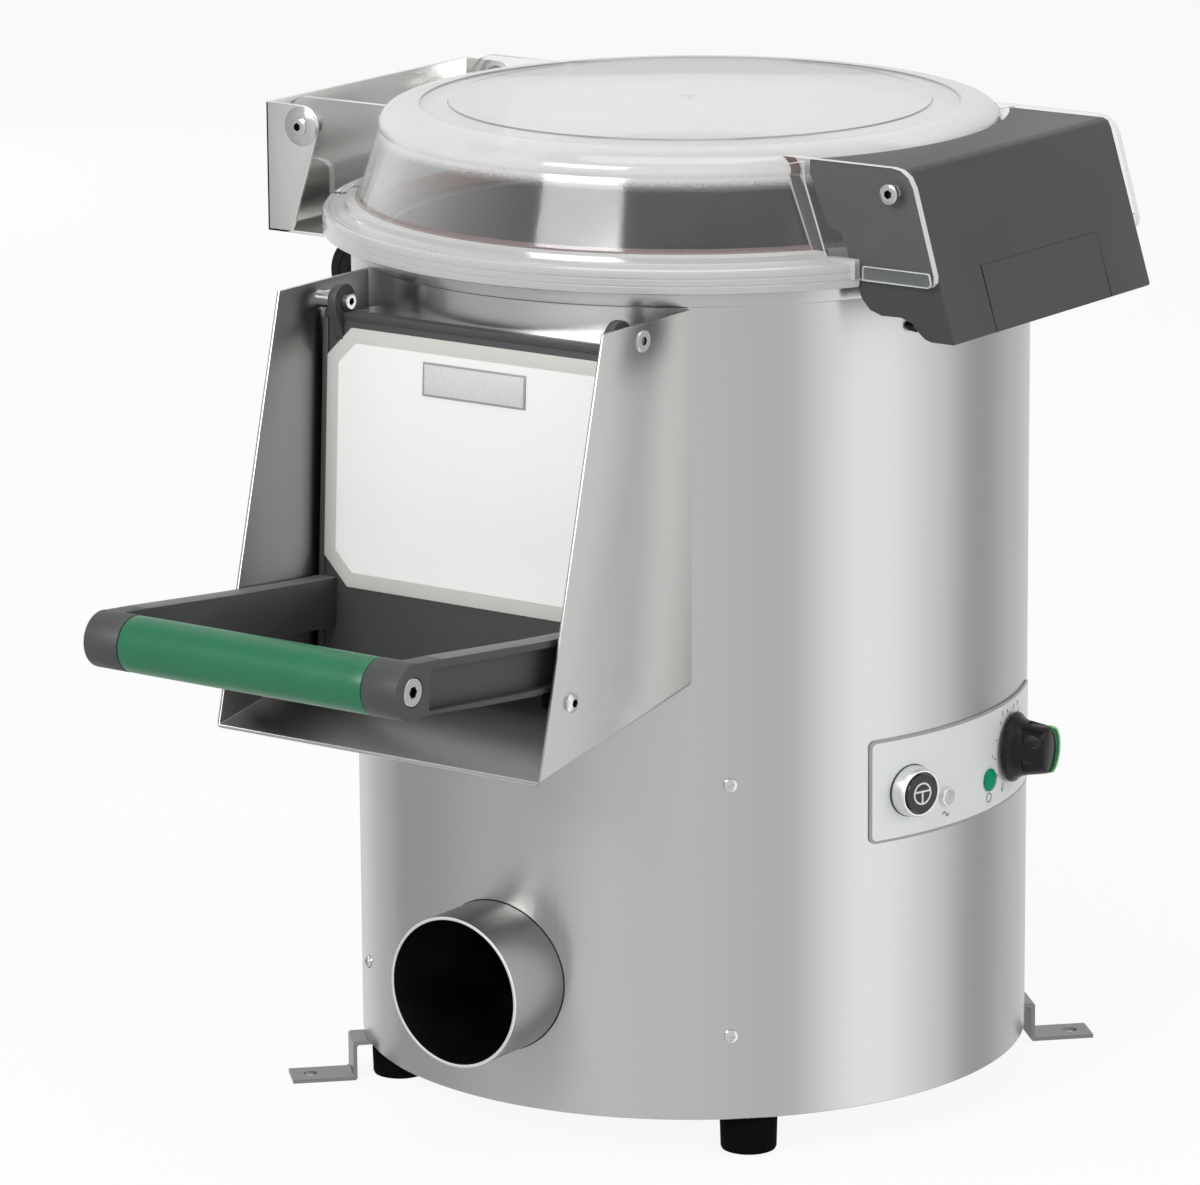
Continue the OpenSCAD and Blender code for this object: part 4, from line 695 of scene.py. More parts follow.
def makeChute(s):
    h, t = s["half"], s["sheet"]
    y, z, top, back = s["lowY"], s["lowZ"], s["topZ"], s["back"]
    floorBack = z + (s["meetZ"] - z) * (back - y) / (s["meetY"] - y)
    tray = slab([(y, z), (back, floorBack), (back, top), (s["topY"], top)], "X", -h, h)
    hollow = slab([(y - 30, z + t - 5.2), (back + 20, floorBack + t + 3.5), (back + 20, top + 30),
                   (s["topY"] - 60, top + 30), (y - 60, z + 40)], "X", -h + t, h - t)
    bendsOut = [e for e in tray.edges if max(v.co.z for v in e.verts) < 0.26
                and all(abs(abs(v.co.x) - h * thousandth) < 1e-6 for v in e.verts)
                and e.verts[0].co.x * e.verts[1].co.x > 0]
    rounded(tray, bendsOut, s["bend"], 4)
    tray = cut(cut(tray, hollow), rod(s["casing"], z - 20, top + 20, steps=180))
    softened(tray, 0.35, 2, 60)

    # painted shade: the chute's inner faces and right front edge take the darker copy of its
    # steel
    def inside(face):
        spot, way = spotOf(face), face.normal
        shadedRightEdge = narrow(face) and spot.x > 90 and way.y < -0.5
        return way.z > 0.9 or abs(way.x) > 0.9 and way.x * spot.x < 0 or shadedRightEdge

    def edged(face):
        spot = spotOf(face)
        return narrow(face) and spot.x < 90 and (spot.z > 226 or spot.y < -263.5)

    piece("chuteTray", "machine",
          [(tray, chuteOuter, (chuteShadedSteel, inside), (cutSteel, edged))], ["discharge_chute"])


pivotSizes = dict(y=-179, z=416.9, stopY=-239.8, stopZ=253.9, outside=96.9, inside=79.7)


def makeChuteScrews(s):
    bolts, stops = [], []
    for right in (True, False):
        base = sideways(0, s["y"], s["z"], right)
        bolts += screwAt(base, s["outside"], (5.3, 0.9, 4.0), (2.9, 82, 94, 0.3), 24)
        bolts.append(moved(socketHead(3.9, 3.4, 3.4), base @ shift(0, 0, s["inside"])
                           @ rotated(180, "Y")))
        base = sideways(0, s["stopY"], s["stopZ"], right)
        stops += screwAt(base, s["outside"], (4.8, 2.9, 3.7, 1.2), (2.7, 86, 94, 0.3), 24)
    screwPiece("pivotBolts", "machine", bolts, "door_pivot_bolts")
    screwPiece("stopScrews", "machine", stops, "stop_screws")


makeChute(chuteSizes)
makeChuteScrews(pivotSizes)
print("chute made")


doorSizes = dict(half=92.5, topY=-180, topZ=412, lowY=-188.8, lowZ=250, back=-175.3, apron=9,
                 gripY=-354.9, gripZ=282.8, boss=13.7, bossLength=20.5, armIn=81.8, web=87,
                 hollow=72, earIn=80, earOut=85, sideRib=90.8)


def doorTilt():
    d = doorSizes
    return math.atan((d["topY"] - d["lowY"]) / (d["topZ"] - d["lowZ"]))


def onDoor(bm, x=0):
    # x and z run over the door's sloping face, -Y points out of it
    seat = shift(0, doorSizes["topY"], doorSizes["topZ"])
    return moved(bm, seat @ Matrix.Rotation(-doorTilt(), 4, "X") @ shift(x, 0, 0))


def makeDoor(s):
    low, lowY = s["lowZ"] - s["apron"], s["lowY"] - s["apron"] * math.tan(doorTilt())
    half, back, top, y, z = s["half"], s["back"], s["topZ"], s["gripY"], s["gripZ"]
    panel = softened(slab([(s["topY"], top), (back, top), (back, low), (lowY, low)],
                          "X", -half, half), 1.0, 3, 60)
    panel = cut(panel, slab([(back + 1, 264), (back + 1, 372), (-178.4, 372), (-183.4, 264)],
                            "X", -s["hollow"], s["hollow"]))
    arm = slab([(-356.1, 296.3), (-333, 294.2), (-261.4, 286.6), (-200, 281.0), (-177.3, 279.4),
                (-177.3, 254.0), (-200, 256.2), (-248, 260.5), (-262, 260.9), (-277.5, 262.4),
                (-306.7, 265.4), (-341, 269.8), (-354, 269.5)], "X", s["armIn"], half)
    softened(arm, 0.5, 2, 50)
    recess = slab([(-341.6, 291.0), (-250, 282.1), (-192, 277.0), (-192, 258.6),
                   (-250, 262.9), (-277.4, 265.2), (-344, 271.7)], "X",
                  s["web"], half + 4, corner=1.2, cornerSteps=3)
    pocket = slab([(-240, 279.6), (-196, 276.0), (-196, 259.4), (-240, 263.0)], "X",
                  s["armIn"] + 1.6, half)
    r, end = s["boss"], s["bossLength"]
    boss = spun([(0, 0), (r - 0.6, 0), (r - 0.2, 0.2), (r, 0.6), (r, end - 1.4),
                 (r - 0.12, end - 0.8), (r - 0.42, end - 0.32), (r - 0.95, end), (7.8, end),
                 (7.3, end - 0.2), (7.1, end - 0.6), (7.1, end - 3.8), (0, end - 3.8)], 96)
    moved(boss, sideways(half - end, y, z))
    seat = moved(rod(8.2, half - 4.1, half + 2, steps=50), sideways(0, y, z))
    arm = cut(cut(fused(cut(arm, seat), boss), recess), pocket)
    ear = slab([(-187.4, 418.6), (-186.9, 412.2), (-183.8, 405.4), (-181.6, 397.5),
                (-175.3, 397.5), (-175.3, 408.2), (-171.6, 412.4), (-170.5, 418.0),
                (-172.6, 422.8), (-177.0, 425.3), (-182.4, 424.8), (-186.2, 421.9)],
               "X", s["earIn"], s["earOut"], corner=1.6, cornerSteps=3)
    softened(ear, 0.6, 2, 60)
    lip = brick((-half + 1, -180.9, 407.6), (half - 1, -177.5, 411.9), 0.8)
    sides = [onDoor(brick((-1.6, -1.0, -168), (1.6, 0.4, -4), 0.5), sign * s["sideRib"])
             for sign in (1, -1)]
    whole = merged(panel, *pairOf(arm), *pairOf(ear), lip, *sides)

    # painted light: the arms' upward faces take the lighter copy
    def onArmTop(face):
        spot = spotOf(face)
        return face.normal.z > 0.9 and 278 < spot.z < 300 and spot.y > -343

    piece("doorMoulding", "door_assembly",
          [(whole, handleMoulding, (handleLitTop, onArmTop))], ["door"])


labelSizes = dict(half=89.7, top=-7.6, low=-136.0, corner=14.6, border=7.4, thick=0.8,
                  gap=0.02, film=0.16)


def makeLabel(s):
    x, c, top, low = s["half"], s["corner"], s["top"], s["low"]
    plate = slab([(-x + c, top), (x - c, top), (x, top - c), (x, low + c), (x - c, low),
                  (-x + c, low), (-x, low + c), (-x, top - c)], "Y", -s["thick"], 0)
    front = min(plate.faces, key=lambda f: spotOf(f).y)
    bmesh.ops.inset_region(plate, faces=[front], thickness=s["border"] * thousandth,
                           use_even_offset=True)
    sheet = bmesh.new()
    inner = min((f for f in plate.faces if len(f.verts) == 8
                 and spotOf(f).y < -s["thick"] + 0.001), key=lambda f: f.calc_area())
    sheet.faces.new([sheet.verts.new(v.co + mm(0, -s["gap"], 0)) for v in inner.verts])
    grown = bmesh.ops.extrude_face_region(sheet, geom=sheet.faces[:])
    bmesh.ops.translate(sheet, vec=mm(0, -s["film"], 0), verts=vertsOf(grown["geom"]))
    bmesh.ops.recalc_face_normals(sheet, faces=sheet.faces)
    softened(plate, 0.25, 2, 60)
    piece("doorLabel", "door_assembly",
          [(onDoor(plate), labelGrey), (onDoor(sheet), labelWhite)], ["door_label"])
    badge = brick((-30.8, -1.5, -35.9), (30.8, -0.9, -19.2), 0.25)
    face = brick((-29.6, -1.62, -34.8), (29.6, -1.45, -20.3), 0.08)
    piece("doorBadge", "door_assembly",
          [(onDoor(badge), stripLine), (onDoor(face), badgeSilver)], ["door_badge"])


def makeGrip(s):
    half, r, y, z = s["half"] - s["bossLength"], s["boss"], s["gripY"], s["gripZ"]
    sleeve = spun([(4.2, -half + 0.2), (r - 0.9, -half + 0.2), (r - 0.35, -half + 0.5),
                   (r - 0.15, -half + 1.2), (r - 0.05, -half + 8), (r, -20), (r, 20),
                   (r - 0.05, half - 8), (r - 0.15, half - 1.2), (r - 0.35, half - 0.5),
                   (r - 0.9, half - 0.2), (4.2, half - 0.2)], 72)
    moved(sleeve, sideways(0, y, z))
    piece("gripSleeve", "door_assembly", [(sleeve, greenSleeve)], ["grip_tube"])
    screws = []
    for right in (True, False):
        screws += screwAt(sideways(0, y, z, right), s["half"] - 3.5, (6.8, 3.0, 5.2),
                          (4.0, 46, 86.1, 0.4))
    screwPiece("gripScrews", "door_assembly", screws, "grip_screws")


makeDoor(doorSizes)
makeLabel(labelSizes)
makeGrip(doorSizes)
print("door made")


lidSizes = dict(low=435.0, rim=184.0, flange=447.0, top=499.5, hingeX=-180, hingeZ=480,
                hingeHole=5.0, latchX=180.6, latchZ=482.7, latchHole=3.0)


def makeLid(s):
    z, f, r, top = s["low"], s["flange"], s["rim"], s["top"]
    inner = [(0, top - 3.1), (116, top - 3.3), (140, top - 3.9), (146, 494.3), (149.8, 491.6),
             (151.6, 488.2), (151.9, 486.2), (161.9, 451.4), (162.6, 448.4), (162.5, 444.6),
             (163.1, 444.0), (179.2, 444.0), (179.9, 443.2), (180, 435.6), (180.6, z)]
    rim = [(r - 1, z), (r - 0.2, 435.5), (r, 436.6), (r, 438.5), (r - 0.3, 438.8),
           (r - 0.3, 439.2), (r, 439.5), (r, 442.0), (r - 0.3, 442.3), (r - 0.3, 442.7),
           (r, 443.0), (r, 444.6), (r - 0.4, 446.2), (182.4, f), (181.0, f), (180.8, f - 0.3),
           (180.2, f - 0.3), (180.0, f + 0.1), (178.2, f + 0.2), (178.0, f - 0.05),
           (177.4, f - 0.05), (177.2, f + 0.25), (174.4, 447.5), (173.2, 448.1),
           (172.5, 449.6), (172.2, 450.6), (171.2, 451.1), (167.6, 451.5)]
    dome = [(166.0, 452.2), (165.4, 453.8), (155.0, 485.8), (155.2, 486.8), (155.55, 487.8),
            (155.55, 489.2), (154.8, 491.6), (152.8, 494.2), (150.0, 496.0), (146.0, 497.2),
            (140.0, 498.1), (135.6, 498.4), (134.8, 498.3), (134.1, 497.6), (133.2, 497.6),
            (122.0, 498.0), (121.0, 498.3), (120.4, 499.1), (119.4, 499.35), (6.2, top),
            (5.4, top - 0.45), (1.8, top - 0.45), (1.3, top - 0.1), (0, top - 0.1)]
    shell = spun(inner + rim + dome, 192)
    gap = cut(brick((0, -90, z - 1), (190, 90, 458)), rod(168.5, z - 4, 470, steps=192))
    shell = cut(shell, gap)  # the rim is open where the latch sits
    hollow = spun([(0, z - 5), (163.5, z - 5), (163.5, 448.3), (162.7, 451.4), (152.6, 486.2),
                   (150.4, 491.0), (146, 495), (0, top - 2)], 192)
    hingeEar = slab([(-120, 494.5), (-182, 494.4), (-188.5, 491.7), (-192.8, 486.8),
                     (-194.4, 480.5), (-193.4, 474.4), (-189.6, 468.9), (-183.6, 465.6),
                     (-176.5, 464.2), (-168.5, 462.6), (-165.6, 460.4), (-165, 457.6),
                     (-165, 446.0), (-120, 446.0)], "Y", -81.2, -77.2)
    hingeEar = cut(hingeEar, hollow.copy())
    hingeEar = cut(hingeEar, moved(rod(s["hingeHole"], -90, 90, steps=32),
                                   forward(s["hingeX"], 0, s["hingeZ"])))
    latchEar = slab([(112, 495), (181.6, 495), (186.2, 494.1), (190.4, 491.2),
                     (193.1, 486.4), (205.0, 445.2), (204.9, 441.9), (202.8, 439.7),
                     (201.0, 439.3), (142, 439.3), (112, 439.3)], "Y", -94, -90)
    keep = slab([(118, 496), (118, 456.5), (133, 448), (150, 439), (207, 439), (207, 496)],
                "Y", -95, -89)
    latchEar = cut(joinedShape(latchEar, keep, "INTERSECT"), hollow)
    latchEar = cut(latchEar, moved(rod(s["latchHole"], -99, 99, steps=32),
                                   forward(s["latchX"], 0, s["latchZ"])))
    for ear in pairOf(hingeEar, "Y") + pairOf(latchEar, "Y"):
        shell = fused(shell, ear)

    # the latch ears' sides are parted where their finish changes
    sides = [f for f in shell.faces if abs(f.normal.y) > 0.999 and 89 < abs(spotOf(f).y) < 95]
    geom = set(sides)
    for face in sides:
        geom.update(face.edges[:] + face.verts[:])
    for spot, way in ((mm(160.5, 0, 0), (1, 0, 0)), (mm(0, 0, 448.6), (0, 0, 1))):
        done = bmesh.ops.bisect_plane(shell, geom=list(geom), plane_co=spot, plane_no=way)
        geom = set(done["geom"])
    root = slab([(121.8, 491.5), (131.5, 494), (132, 484.5), (144.6, 449), (137.6, 447.2),
                 (122.2, 486)], "Y", -95, -93.7, corner=1.0, cornerSteps=2)
    heel = slab([(165, 439.4), (202.4, 439.4), (204.0, 441.4), (202.8, 446.6), (165, 446.6)],
                "Y", -94.9, -93.7, corner=0.8, cornerSteps=2)
    for rib in (root, heel):
        softened(rib, 0.35, 2, 60)
    ribs = merged(*pairOf(root, "Y"), *pairOf(heel, "Y"))

    # each test gets how far a face stands from the lid's axis, its middle and its direction
    def onEarEdge(far, spot, way):
        middle = 79.2 if spot.x < 0 else 92
        return (abs(abs(spot.y) - middle) < 2.3 and abs(way.y) < 0.5 and far > 168
                and (spot.z > 449 or far > 184.2))

    def onHem(far, spot, way):
        return onEarEdge(far, spot, way) and spot.x < 0 and spot.z < 478

    def onRim(far, spot, way):
        if abs(way.y) > 0.999 and abs(spot.y) < 100:
            return spot.z < 448.6 and 0 < spot.x < 160.5
        return far > 167.4 and spot.z < 451.8 and not onEarEdge(far, spot, way)

    # painted shade: the two ring steps on the top take the dark grey
    def onLine(far, spot, way):
        return spot.z > 497.4 and (120.2 < far < 121.1 or 133.9 < far < 134.8)

    # painted reflection: the ring at the lid's foot takes the pink of the gasket
    def onFoot(far, spot, way):
        return 164.8 < far < 167.3 and 451 < spot.z < 453.2

    def onShoulder(far, spot, way):
        return ((way.z > 0.2 or far < 157 and spot.z > 484.5) and 136 < far < 166
                and spot.z > 455 and way.x * spot.x + way.y * spot.y > 0.05 * far)

    def onEar(far, spot, way):
        return abs(way.y) > 0.999 and 76 < abs(spot.y) < 96

    def onRibEdge(far, spot, way):
        return abs(way.y) < 0.95

    def marked(look, test):
        def chosen(face):
            spot = spotOf(face)
            return test(math.hypot(spot.x, spot.y), spot, face.normal)
        return look, chosen

    piece("clearLidShell", "lid_assembly",
          [(shell, clearLid, marked(lidShoulderHighlight, onShoulder), marked(lidEar, onEar),
            marked(lidRimAndSheen, onRim), marked(lidEdgeHighlight, onEarEdge), marked(lidHemHighlight, onHem),
            marked(lidGrooveShade, onLine), marked(lidFootPaintedGasket, onFoot)),
           (ribs, lidEar, marked(lidEdgeHighlight, onRibEdge))], ["lid"], smooth=28)


gasketSizes = dict(inside=160.6, outside=170.4, low=435.05)


def makeGasket(s):
    a, b, z = s["inside"], s["outside"], s["low"]
    ring = spun([(a, 443.6), (a, 437), (161.4, z + 0.55), (163.4, z), (165.5, z + 0.55),
                 (167.4, z), (169.6, z + 0.65), (b, 437), (b, 443.8), (163.6, 443.9)], 160)
    piece("lidGasket", "lid_assembly", [(ring, gasketRubber)], ["lid_gasket"])


hingeSizes = dict(x=-180, z=480, half=84.5, back=-202.4, low=424.6, high=490.8, sheet=1.5,
                  footEnd=-80, casing=170.05)


def makeBracket(s):
    half, t, low, high, back, end = (
        s[key] for key in ("half", "sheet", "low", "high", "back", "footEnd"))
    wall = slab([(back, low), (back + t, low), (back + t, high), (back, high)], "Y", -half, half)
    foot = slab([(back, -half), (back, half), (end, half), (end, -half)], "Z", low, low + t)
    foot = cut(foot, rod(s["casing"], low - 5, low + 10, steps=180))
    cheek = slab([(back, low), (-189.8, low), (-187.0, 425.6), (-185.8, 428.2),
                  (-170.6, 475.2), (-169.4, 480.5), (-170.4, 485.4), (-173.6, 489.0),
                  (-178.0, 490.7), (back, high)], "Y", -half, -half + t)
    parts = [wall, foot, *pairOf(cheek, "Y")]
    for part in parts:
        softened(part, 0.35, 2, 60)
    piece("hingeBracket", "machine",
          [(merged(*parts), sheetSteel, (cutSteel, narrow))], ["hinge_bracket"])


def makeHingeScrews(s):
    washers, screws, bushes = [], [], []
    for back in (False, True):
        base = forward(s["x"], 0, s["z"], back)
        dish = spun([(3.1, 84.5), (10, 84.5), (10.1, 84.9), (9.9, 85.3), (9.5, 85.5),
                     (5.9, 86.7), (5.2, 86.8), (3.1, 86.8)], 56)
        washers += [moved(dish, base), moved(tube(8.5, 3.1, 81.55, 83, 0.2, 40), base)]
        screws += screwAt(base, 86.5, (4.9, 1.6, 3.8, 0.5), (2.95, 71, 83.5, 0.3))
        screws.append(moved(softened(hexagon(5.9, 3.9), 0.35), base @ shift(0, 0, 74.9)))
        bushes.append(moved(tube(4.95, 3.08, 77.25, 81.15, 0.25, 40), base))
    piece("hingeWashers", "machine", [(merged(*washers), boltSteel)], ["hinge_washers"])
    screwPiece("hingeScrews", "machine", screws, "hinge_screws")
    piece("hingeBushes", "lid_assembly", [(merged(*bushes), whiteNylon)],
          ["hinge_bushes"])


makeLid(lidSizes)
makeGasket(gasketSizes)
makeBracket(hingeSizes)
makeHingeScrews(hingeSizes)
print("lid and hinge made")


latchSizes = dict(half=89.2, wall=3.0, top=494.0, low=412.4, foldX=187.6, lowX=214.5,
                  panelHalf=53, panelHigh=32)


def makeLatch(s):
    half, top, low, x, fold = s["half"], s["top"], s["low"], s["lowX"], s["foldX"]
    wide, high, wall = s["panelHalf"], s["panelHigh"], s["wall"]
    shell = slab([(183.6, top), (130, top), (130, 467), (148.6, 459.9), (152.1, 453.6),
                  (155.7, 442.2), (161.0, 429.5), (165.6, 424.4), (172.3, 422.2),
                  (183.1, 422.5), (189.9, 420.3), (193.6, 416.0), (197.0, 413.4), (200.6, low),
                  (x - 1, low), (x - 0.2, low + 1.2), (fold + 3.4, 489.2), (fold + 1.6, 492.8),
                  (fold - 1.4, top)], "Y", -half, half)
    softened(shell, 0.8, 3, 40)
    inner = slab([(75, 392), (218.0, 392), (x - 3.3, low - 1), (fold - 1.2, 489.5),
                  (fold - 3.6, top - wall), (75, top - wall)], "Y", -half + wall, half - wall)
    clearance = spun([(0, 430), (172, 430), (172, 456.5), (169, 459), (159, 487), (159, 500),
                      (0, 500)], 160)
    lean = (x - 1 - fold - 2.9) / (490 - low)
    pane = slab([(x - 0.55, low - 1), (x + 6, low - 1), (x + 6 - 0.32 * (high + 1), low + high),
                 (x - 0.55 - lean * (high + 1), low + high)], "Y", -wide, wide)
    shell = cut(cut(cut(shell, inner), clearance), pane)
    ribs = [softened(slab([(174.2, 414.6), (209, 414.6), (206, 426), (174.2, 426)], "Y",
                          15.1 * sign, 18 * sign), 0.3, 2, 60) for sign in (1, -1)]
    tread = slab([(x - 1.4, low + 0.6), (x - 0.45, low + 0.6),
                  (x - 0.45 - lean * (high - 1), low + high - 0.2),
                  (x - 1.4 - lean * (high - 1), low + high + 0.1)], "Y", -wide + 1.2, wide - 0.1)
    piece("latchShell", "latch_assembly",
          [(merged(shell, *ribs), darkMoulding), (tread, panelMoulding)],
          ["latch", "latch_grip"], smooth=30)
    screws = []
    for back in (False, True):
        screws += screwAt(forward(lidSizes["latchX"], 0, lidSizes["latchZ"], back), 94,
                          (4.9, 2.6, 3.9, 0.3), (2.95, 85, 91.2, 0.3))
    screwPiece("latchScrews", "lid_assembly", screws, "latch_screws")


makeLatch(latchSizes)
print("latch made")


stripSizes = dict(radius=171, start=65.2, end=117, low=154, high=206, line=1.4, corner=3.4,
                  lift=0.12)


def stripPlate(s, inset, low, high):
    # a flat plate with round corners, then bent round the casing
    middle, height = (s["start"] + s["end"]) / 2, (s["low"] + s["high"]) / 2
    x = math.radians(s["end"] - s["start"]) / 2 * s["radius"] - inset
    y = (s["high"] - s["low"]) / 2 - inset
    plate = slab([(-x, -y), (x, -y), (x, y), (-x, y)], "Z", low, high,
                 corner=s["corner"] - inset * 0.6, cornerSteps=5)
    for i in range(1, 48):
        halved(plate, mm(x * (i / 24 - 1), 0, 0), (1, 0, 0))
    radius = s["radius"] * thousandth
    for vert in plate.verts:
        turned = Matrix.Rotation(math.radians(middle) + vert.co.x / radius, 3, "Z")
        vert.co = turned @ Vector((0, -radius - vert.co.z, height * thousandth + vert.co.y))
    bmesh.ops.recalc_face_normals(plate, faces=plate.faces)
    return plate


def markOn(azimuth, height, shape):
    # lays a flat mark, drawn in X and Y, on the strip
    out = stripSizes["radius"] + stripSizes["lift"]
    return moved(shape, outward(azimuth, height) @ shift(0, 0, out))


def digit(text, size):
    curve = bpy.data.curves.new("digit", "FONT")
    curve.body = text
    curve.size = size * thousandth
    curve.align_x = "CENTER"
    curve.align_y = "CENTER"
    curve.extrude = 0.00005
    holder = shown("digit", curve)
    bm = evaluated(holder)
    bpy.data.objects.remove(holder)
    bpy.data.curves.remove(curve)
    return bm


knobSizes = dict(azimuth=103, height=181.3, base=172.5, skirt=17.7, grip=12.5, hollowOut=9.4,
                 ticks=12, tickAt=20, numberAt=22.6, start=-150, sweep=300, number=3.4)


def roundDial(angle, out):
    # a mark's place on the dial, and how far the round strip falls away there
    x, y = math.sin(math.radians(angle)) * out, math.cos(math.radians(angle)) * out
    radius = stripSizes["radius"]
    return x, y, math.sqrt(radius ** 2 - x ** 2) - radius


def makeMarks(s):
    marks = [markOn(94.2, 161.2, tube(2.5, 2.1, 0, 0.12, 0.02, 32))]
    bows = []
    for x, way in ((-1.07, -1), (1.08, 1)):  # a wave of two half rings
        bow = tube(1.3, 0.85, 0, 0.12, 0.02, 24)
        halved(bow, (0, 0, 0), (0, way, 0), outer=True)
        bows.append(moved(bow, shift(x, 0, 0)))
    marks.append(markOn(81.6, 161.4, merged(*bows)))
    for i in range(s["ticks"]):
        angle = s["start"] + s["sweep"] * i / (s["ticks"] - 1)
        tick = brick((-0.22, s["tickAt"] - 1, 0), (0.22, s["tickAt"] + 1, 0.12))
        moved(tick, shift(0, 0, roundDial(angle, s["tickAt"])[2]) @ rotated(-angle))
        marks.append(markOn(s["azimuth"], s["height"], tick))
    for i in (0, 1, 2, 3, 5):  # the dial carries no 4
        x, y, fall = roundDial(s["start"] + s["sweep"] * i / 5, s["numberAt"])
        lean = Matrix.Rotation(math.asin(x / stripSizes["radius"]), 4, "Y")
        number = moved(digit(str(i), s["number"]), shift(x, y, fall) @ lean)
        marks.append(markOn(s["azimuth"], s["height"], number))
    return merged(*marks)


def makeStrip(s):
    line = stripPlate(s, 0, -0.9, 0)
    face = stripPlate(s, s["line"], -0.5, 0.06)
    piece("controlStrip", "machine",
          [(line, stripLine), (face, stripSilver), (makeMarks(knobSizes), markBlack)],
          ["control_strip"])


buttonSizes = dict(azimuth=73.5, height=178, bezel=12.7, stem=2.9, back=160.6)


def makeButton(s):
    seat, back = outward(s["azimuth"], s["height"]), s["back"]
    r = s["bezel"]
    bezel = spun([(10.2, 173.2), (7.2, 173.0), (7.2, 170), (r - 0.5, 170.6), (r, 171.0),
                  (r, 172.0), (r - 0.4, 176.4), (r - 0.8, 178.2), (r - 1.4, 179.0),
                  (r - 2, 179.0), (r - 2.4, 178.6)], 64)
    whole = moved(merged(bezel, tube(6.9, 3.4, back, 172, 0.3, 40)), seat)
    # painted shadow: a dark ring round the bezel's foot, for the shade in the gap
    gapShadow = moved(tube(r + 0.4, r - 0.7, 170.0, 171.5, 0.2, 64), seat)
    piece("buttonBezel", "machine", [(whole, satinSteel), (gapShadow, markBlack)],
          ["button_bezel"])
    cap = spun([(0, 177), (9.5, 177), (9.7, 177.4), (9.7, 179.2), (9.4, 179.8), (8.8, 180.0),
                (7.8, 179.8), (0, 179.7)], 56)
    cap = merged(cap, rod(s["stem"], back, 177.2, 0.3, 24))
    mark = merged(tube(5.6, 4.7, 179.7, 179.95, 0.05, 48),
                  brick((-4.9, 0.6, 179.7), (4.9, 1.5, 179.93)),
                  brick((-0.45, -4.8, 179.7), (0.45, 0.9, 179.93)))
    piece("stopButton", "stop_button",
          [(moved(cap, seat), blackGloss), (moved(mark, seat), markWhite)], ["button_cap"])


lampSizes = dict(height=170.3, mains=(81.6, 4.4), run=(94.2, 5.7))


def makeLamps(s):
    for name, node, glow, slotName, (azimuth, r) in (
            ("mainsLamp", "mains_lamp", clearLens, "clear_plastic", s["mains"]),
            ("runLamp", "run_lamp", greenLamp, "green_lamp", s["run"])):
        seat = outward(azimuth, s["height"])
        lens = spun([(0, 158), (r - 1.2, 158), (r - 1.1, 170.9), (r - 0.3, 171), (r, 171.3),
                     (r, 172.0), (r * 0.86, 172.9), (r * 0.55, 173.7), (0, 174.1)], 40)
        parts = [(moved(lens, seat), glow)]
        if node == "mains_lamp":
            ring = spun([(3.5, 171), (r + 0.2, 171), (r + 0.3, 172.2), (r - 0.1, 173.3),
                         (r - 0.6, 173.4), (3.5, 172.6)], 40)
            parts.append((moved(ring, seat), satinSteel))
        piece(name, "machine", parts, [node])


def makeKnob(s):
    seat = outward(s["azimuth"], s["height"])
    b, sk, g = s["base"], s["skirt"], s["grip"]
    knob = spun([(0, b), (sk - 0.6, b), (sk, b + 0.6), (sk - 0.2, b + 1.8),
                 (sk - 1.0, b + 2.8), (sk - 2.2, b + 3.8), (g + 2.4, b + 5.0),
                 (g + 1.7, b + 6.4), (g + 1.3, b + 8.0), (g + 0.6, b + 12),
                 (g - 0.2, b + 16.6), (g - 0.6, b + 18.6), (g - 1.0, b + 19.6),
                 (g - 1.8, b + 20), (0, b + 20)], 96)
    for i in range(6):  # six finger hollows
        angle, out = math.radians(60 * i + 30), g + s["hollowOut"]
        groove = moved(rod(10, b + 8.8, b + 40, 0.5, 48),
                       shift(out * math.cos(angle), out * math.sin(angle), 0))
        knob = cut(knob, groove)
    knob = merged(knob, rod(2.9, 151.6, b + 0.5, 0.3, 24))
    # painted light and shade: the moon is the shaded copy of the insert's green, the ridge's wall
    # the lit copy
    moon = cut(rod(g - 1.4, b + 19.2, b + 20.3, 0.2, 96),
               moved(rod(g - 1.6, b + 18, b + 22, steps=96), shift(-4.2, 0, 0)))
    ridge = spun([(g - 1.6, b + 19.6), (g - 1.5, b + 20.9), (g - 1.1, b + 21.2),
                  (g - 0.7, b + 21.0), (g - 0.35, b + 20.2), (g - 0.2, b + 18.4),
                  (g - 0.9, b + 18.2)], 96)
    ridge = cut(ridge, brick((-30, -30, b + 10), (0.12 * g, 30, b + 30)))
    piece("timerKnob", "timer", [(moved(knob, seat), blackMoulding)],
          ["timer_knob"])
    piece("knobMark", "timer",
          [(moved(moon, seat), greenShadedInsert), (moved(ridge, seat), greenLitInsert)], ["knob_pointer"])


makeStrip(stripSizes)
makeButton(buttonSizes)
makeLamps(lampSizes)
makeKnob(knobSizes)
print("controls made")


valveSizes = dict(x=-189, y=-28, z=394.5)


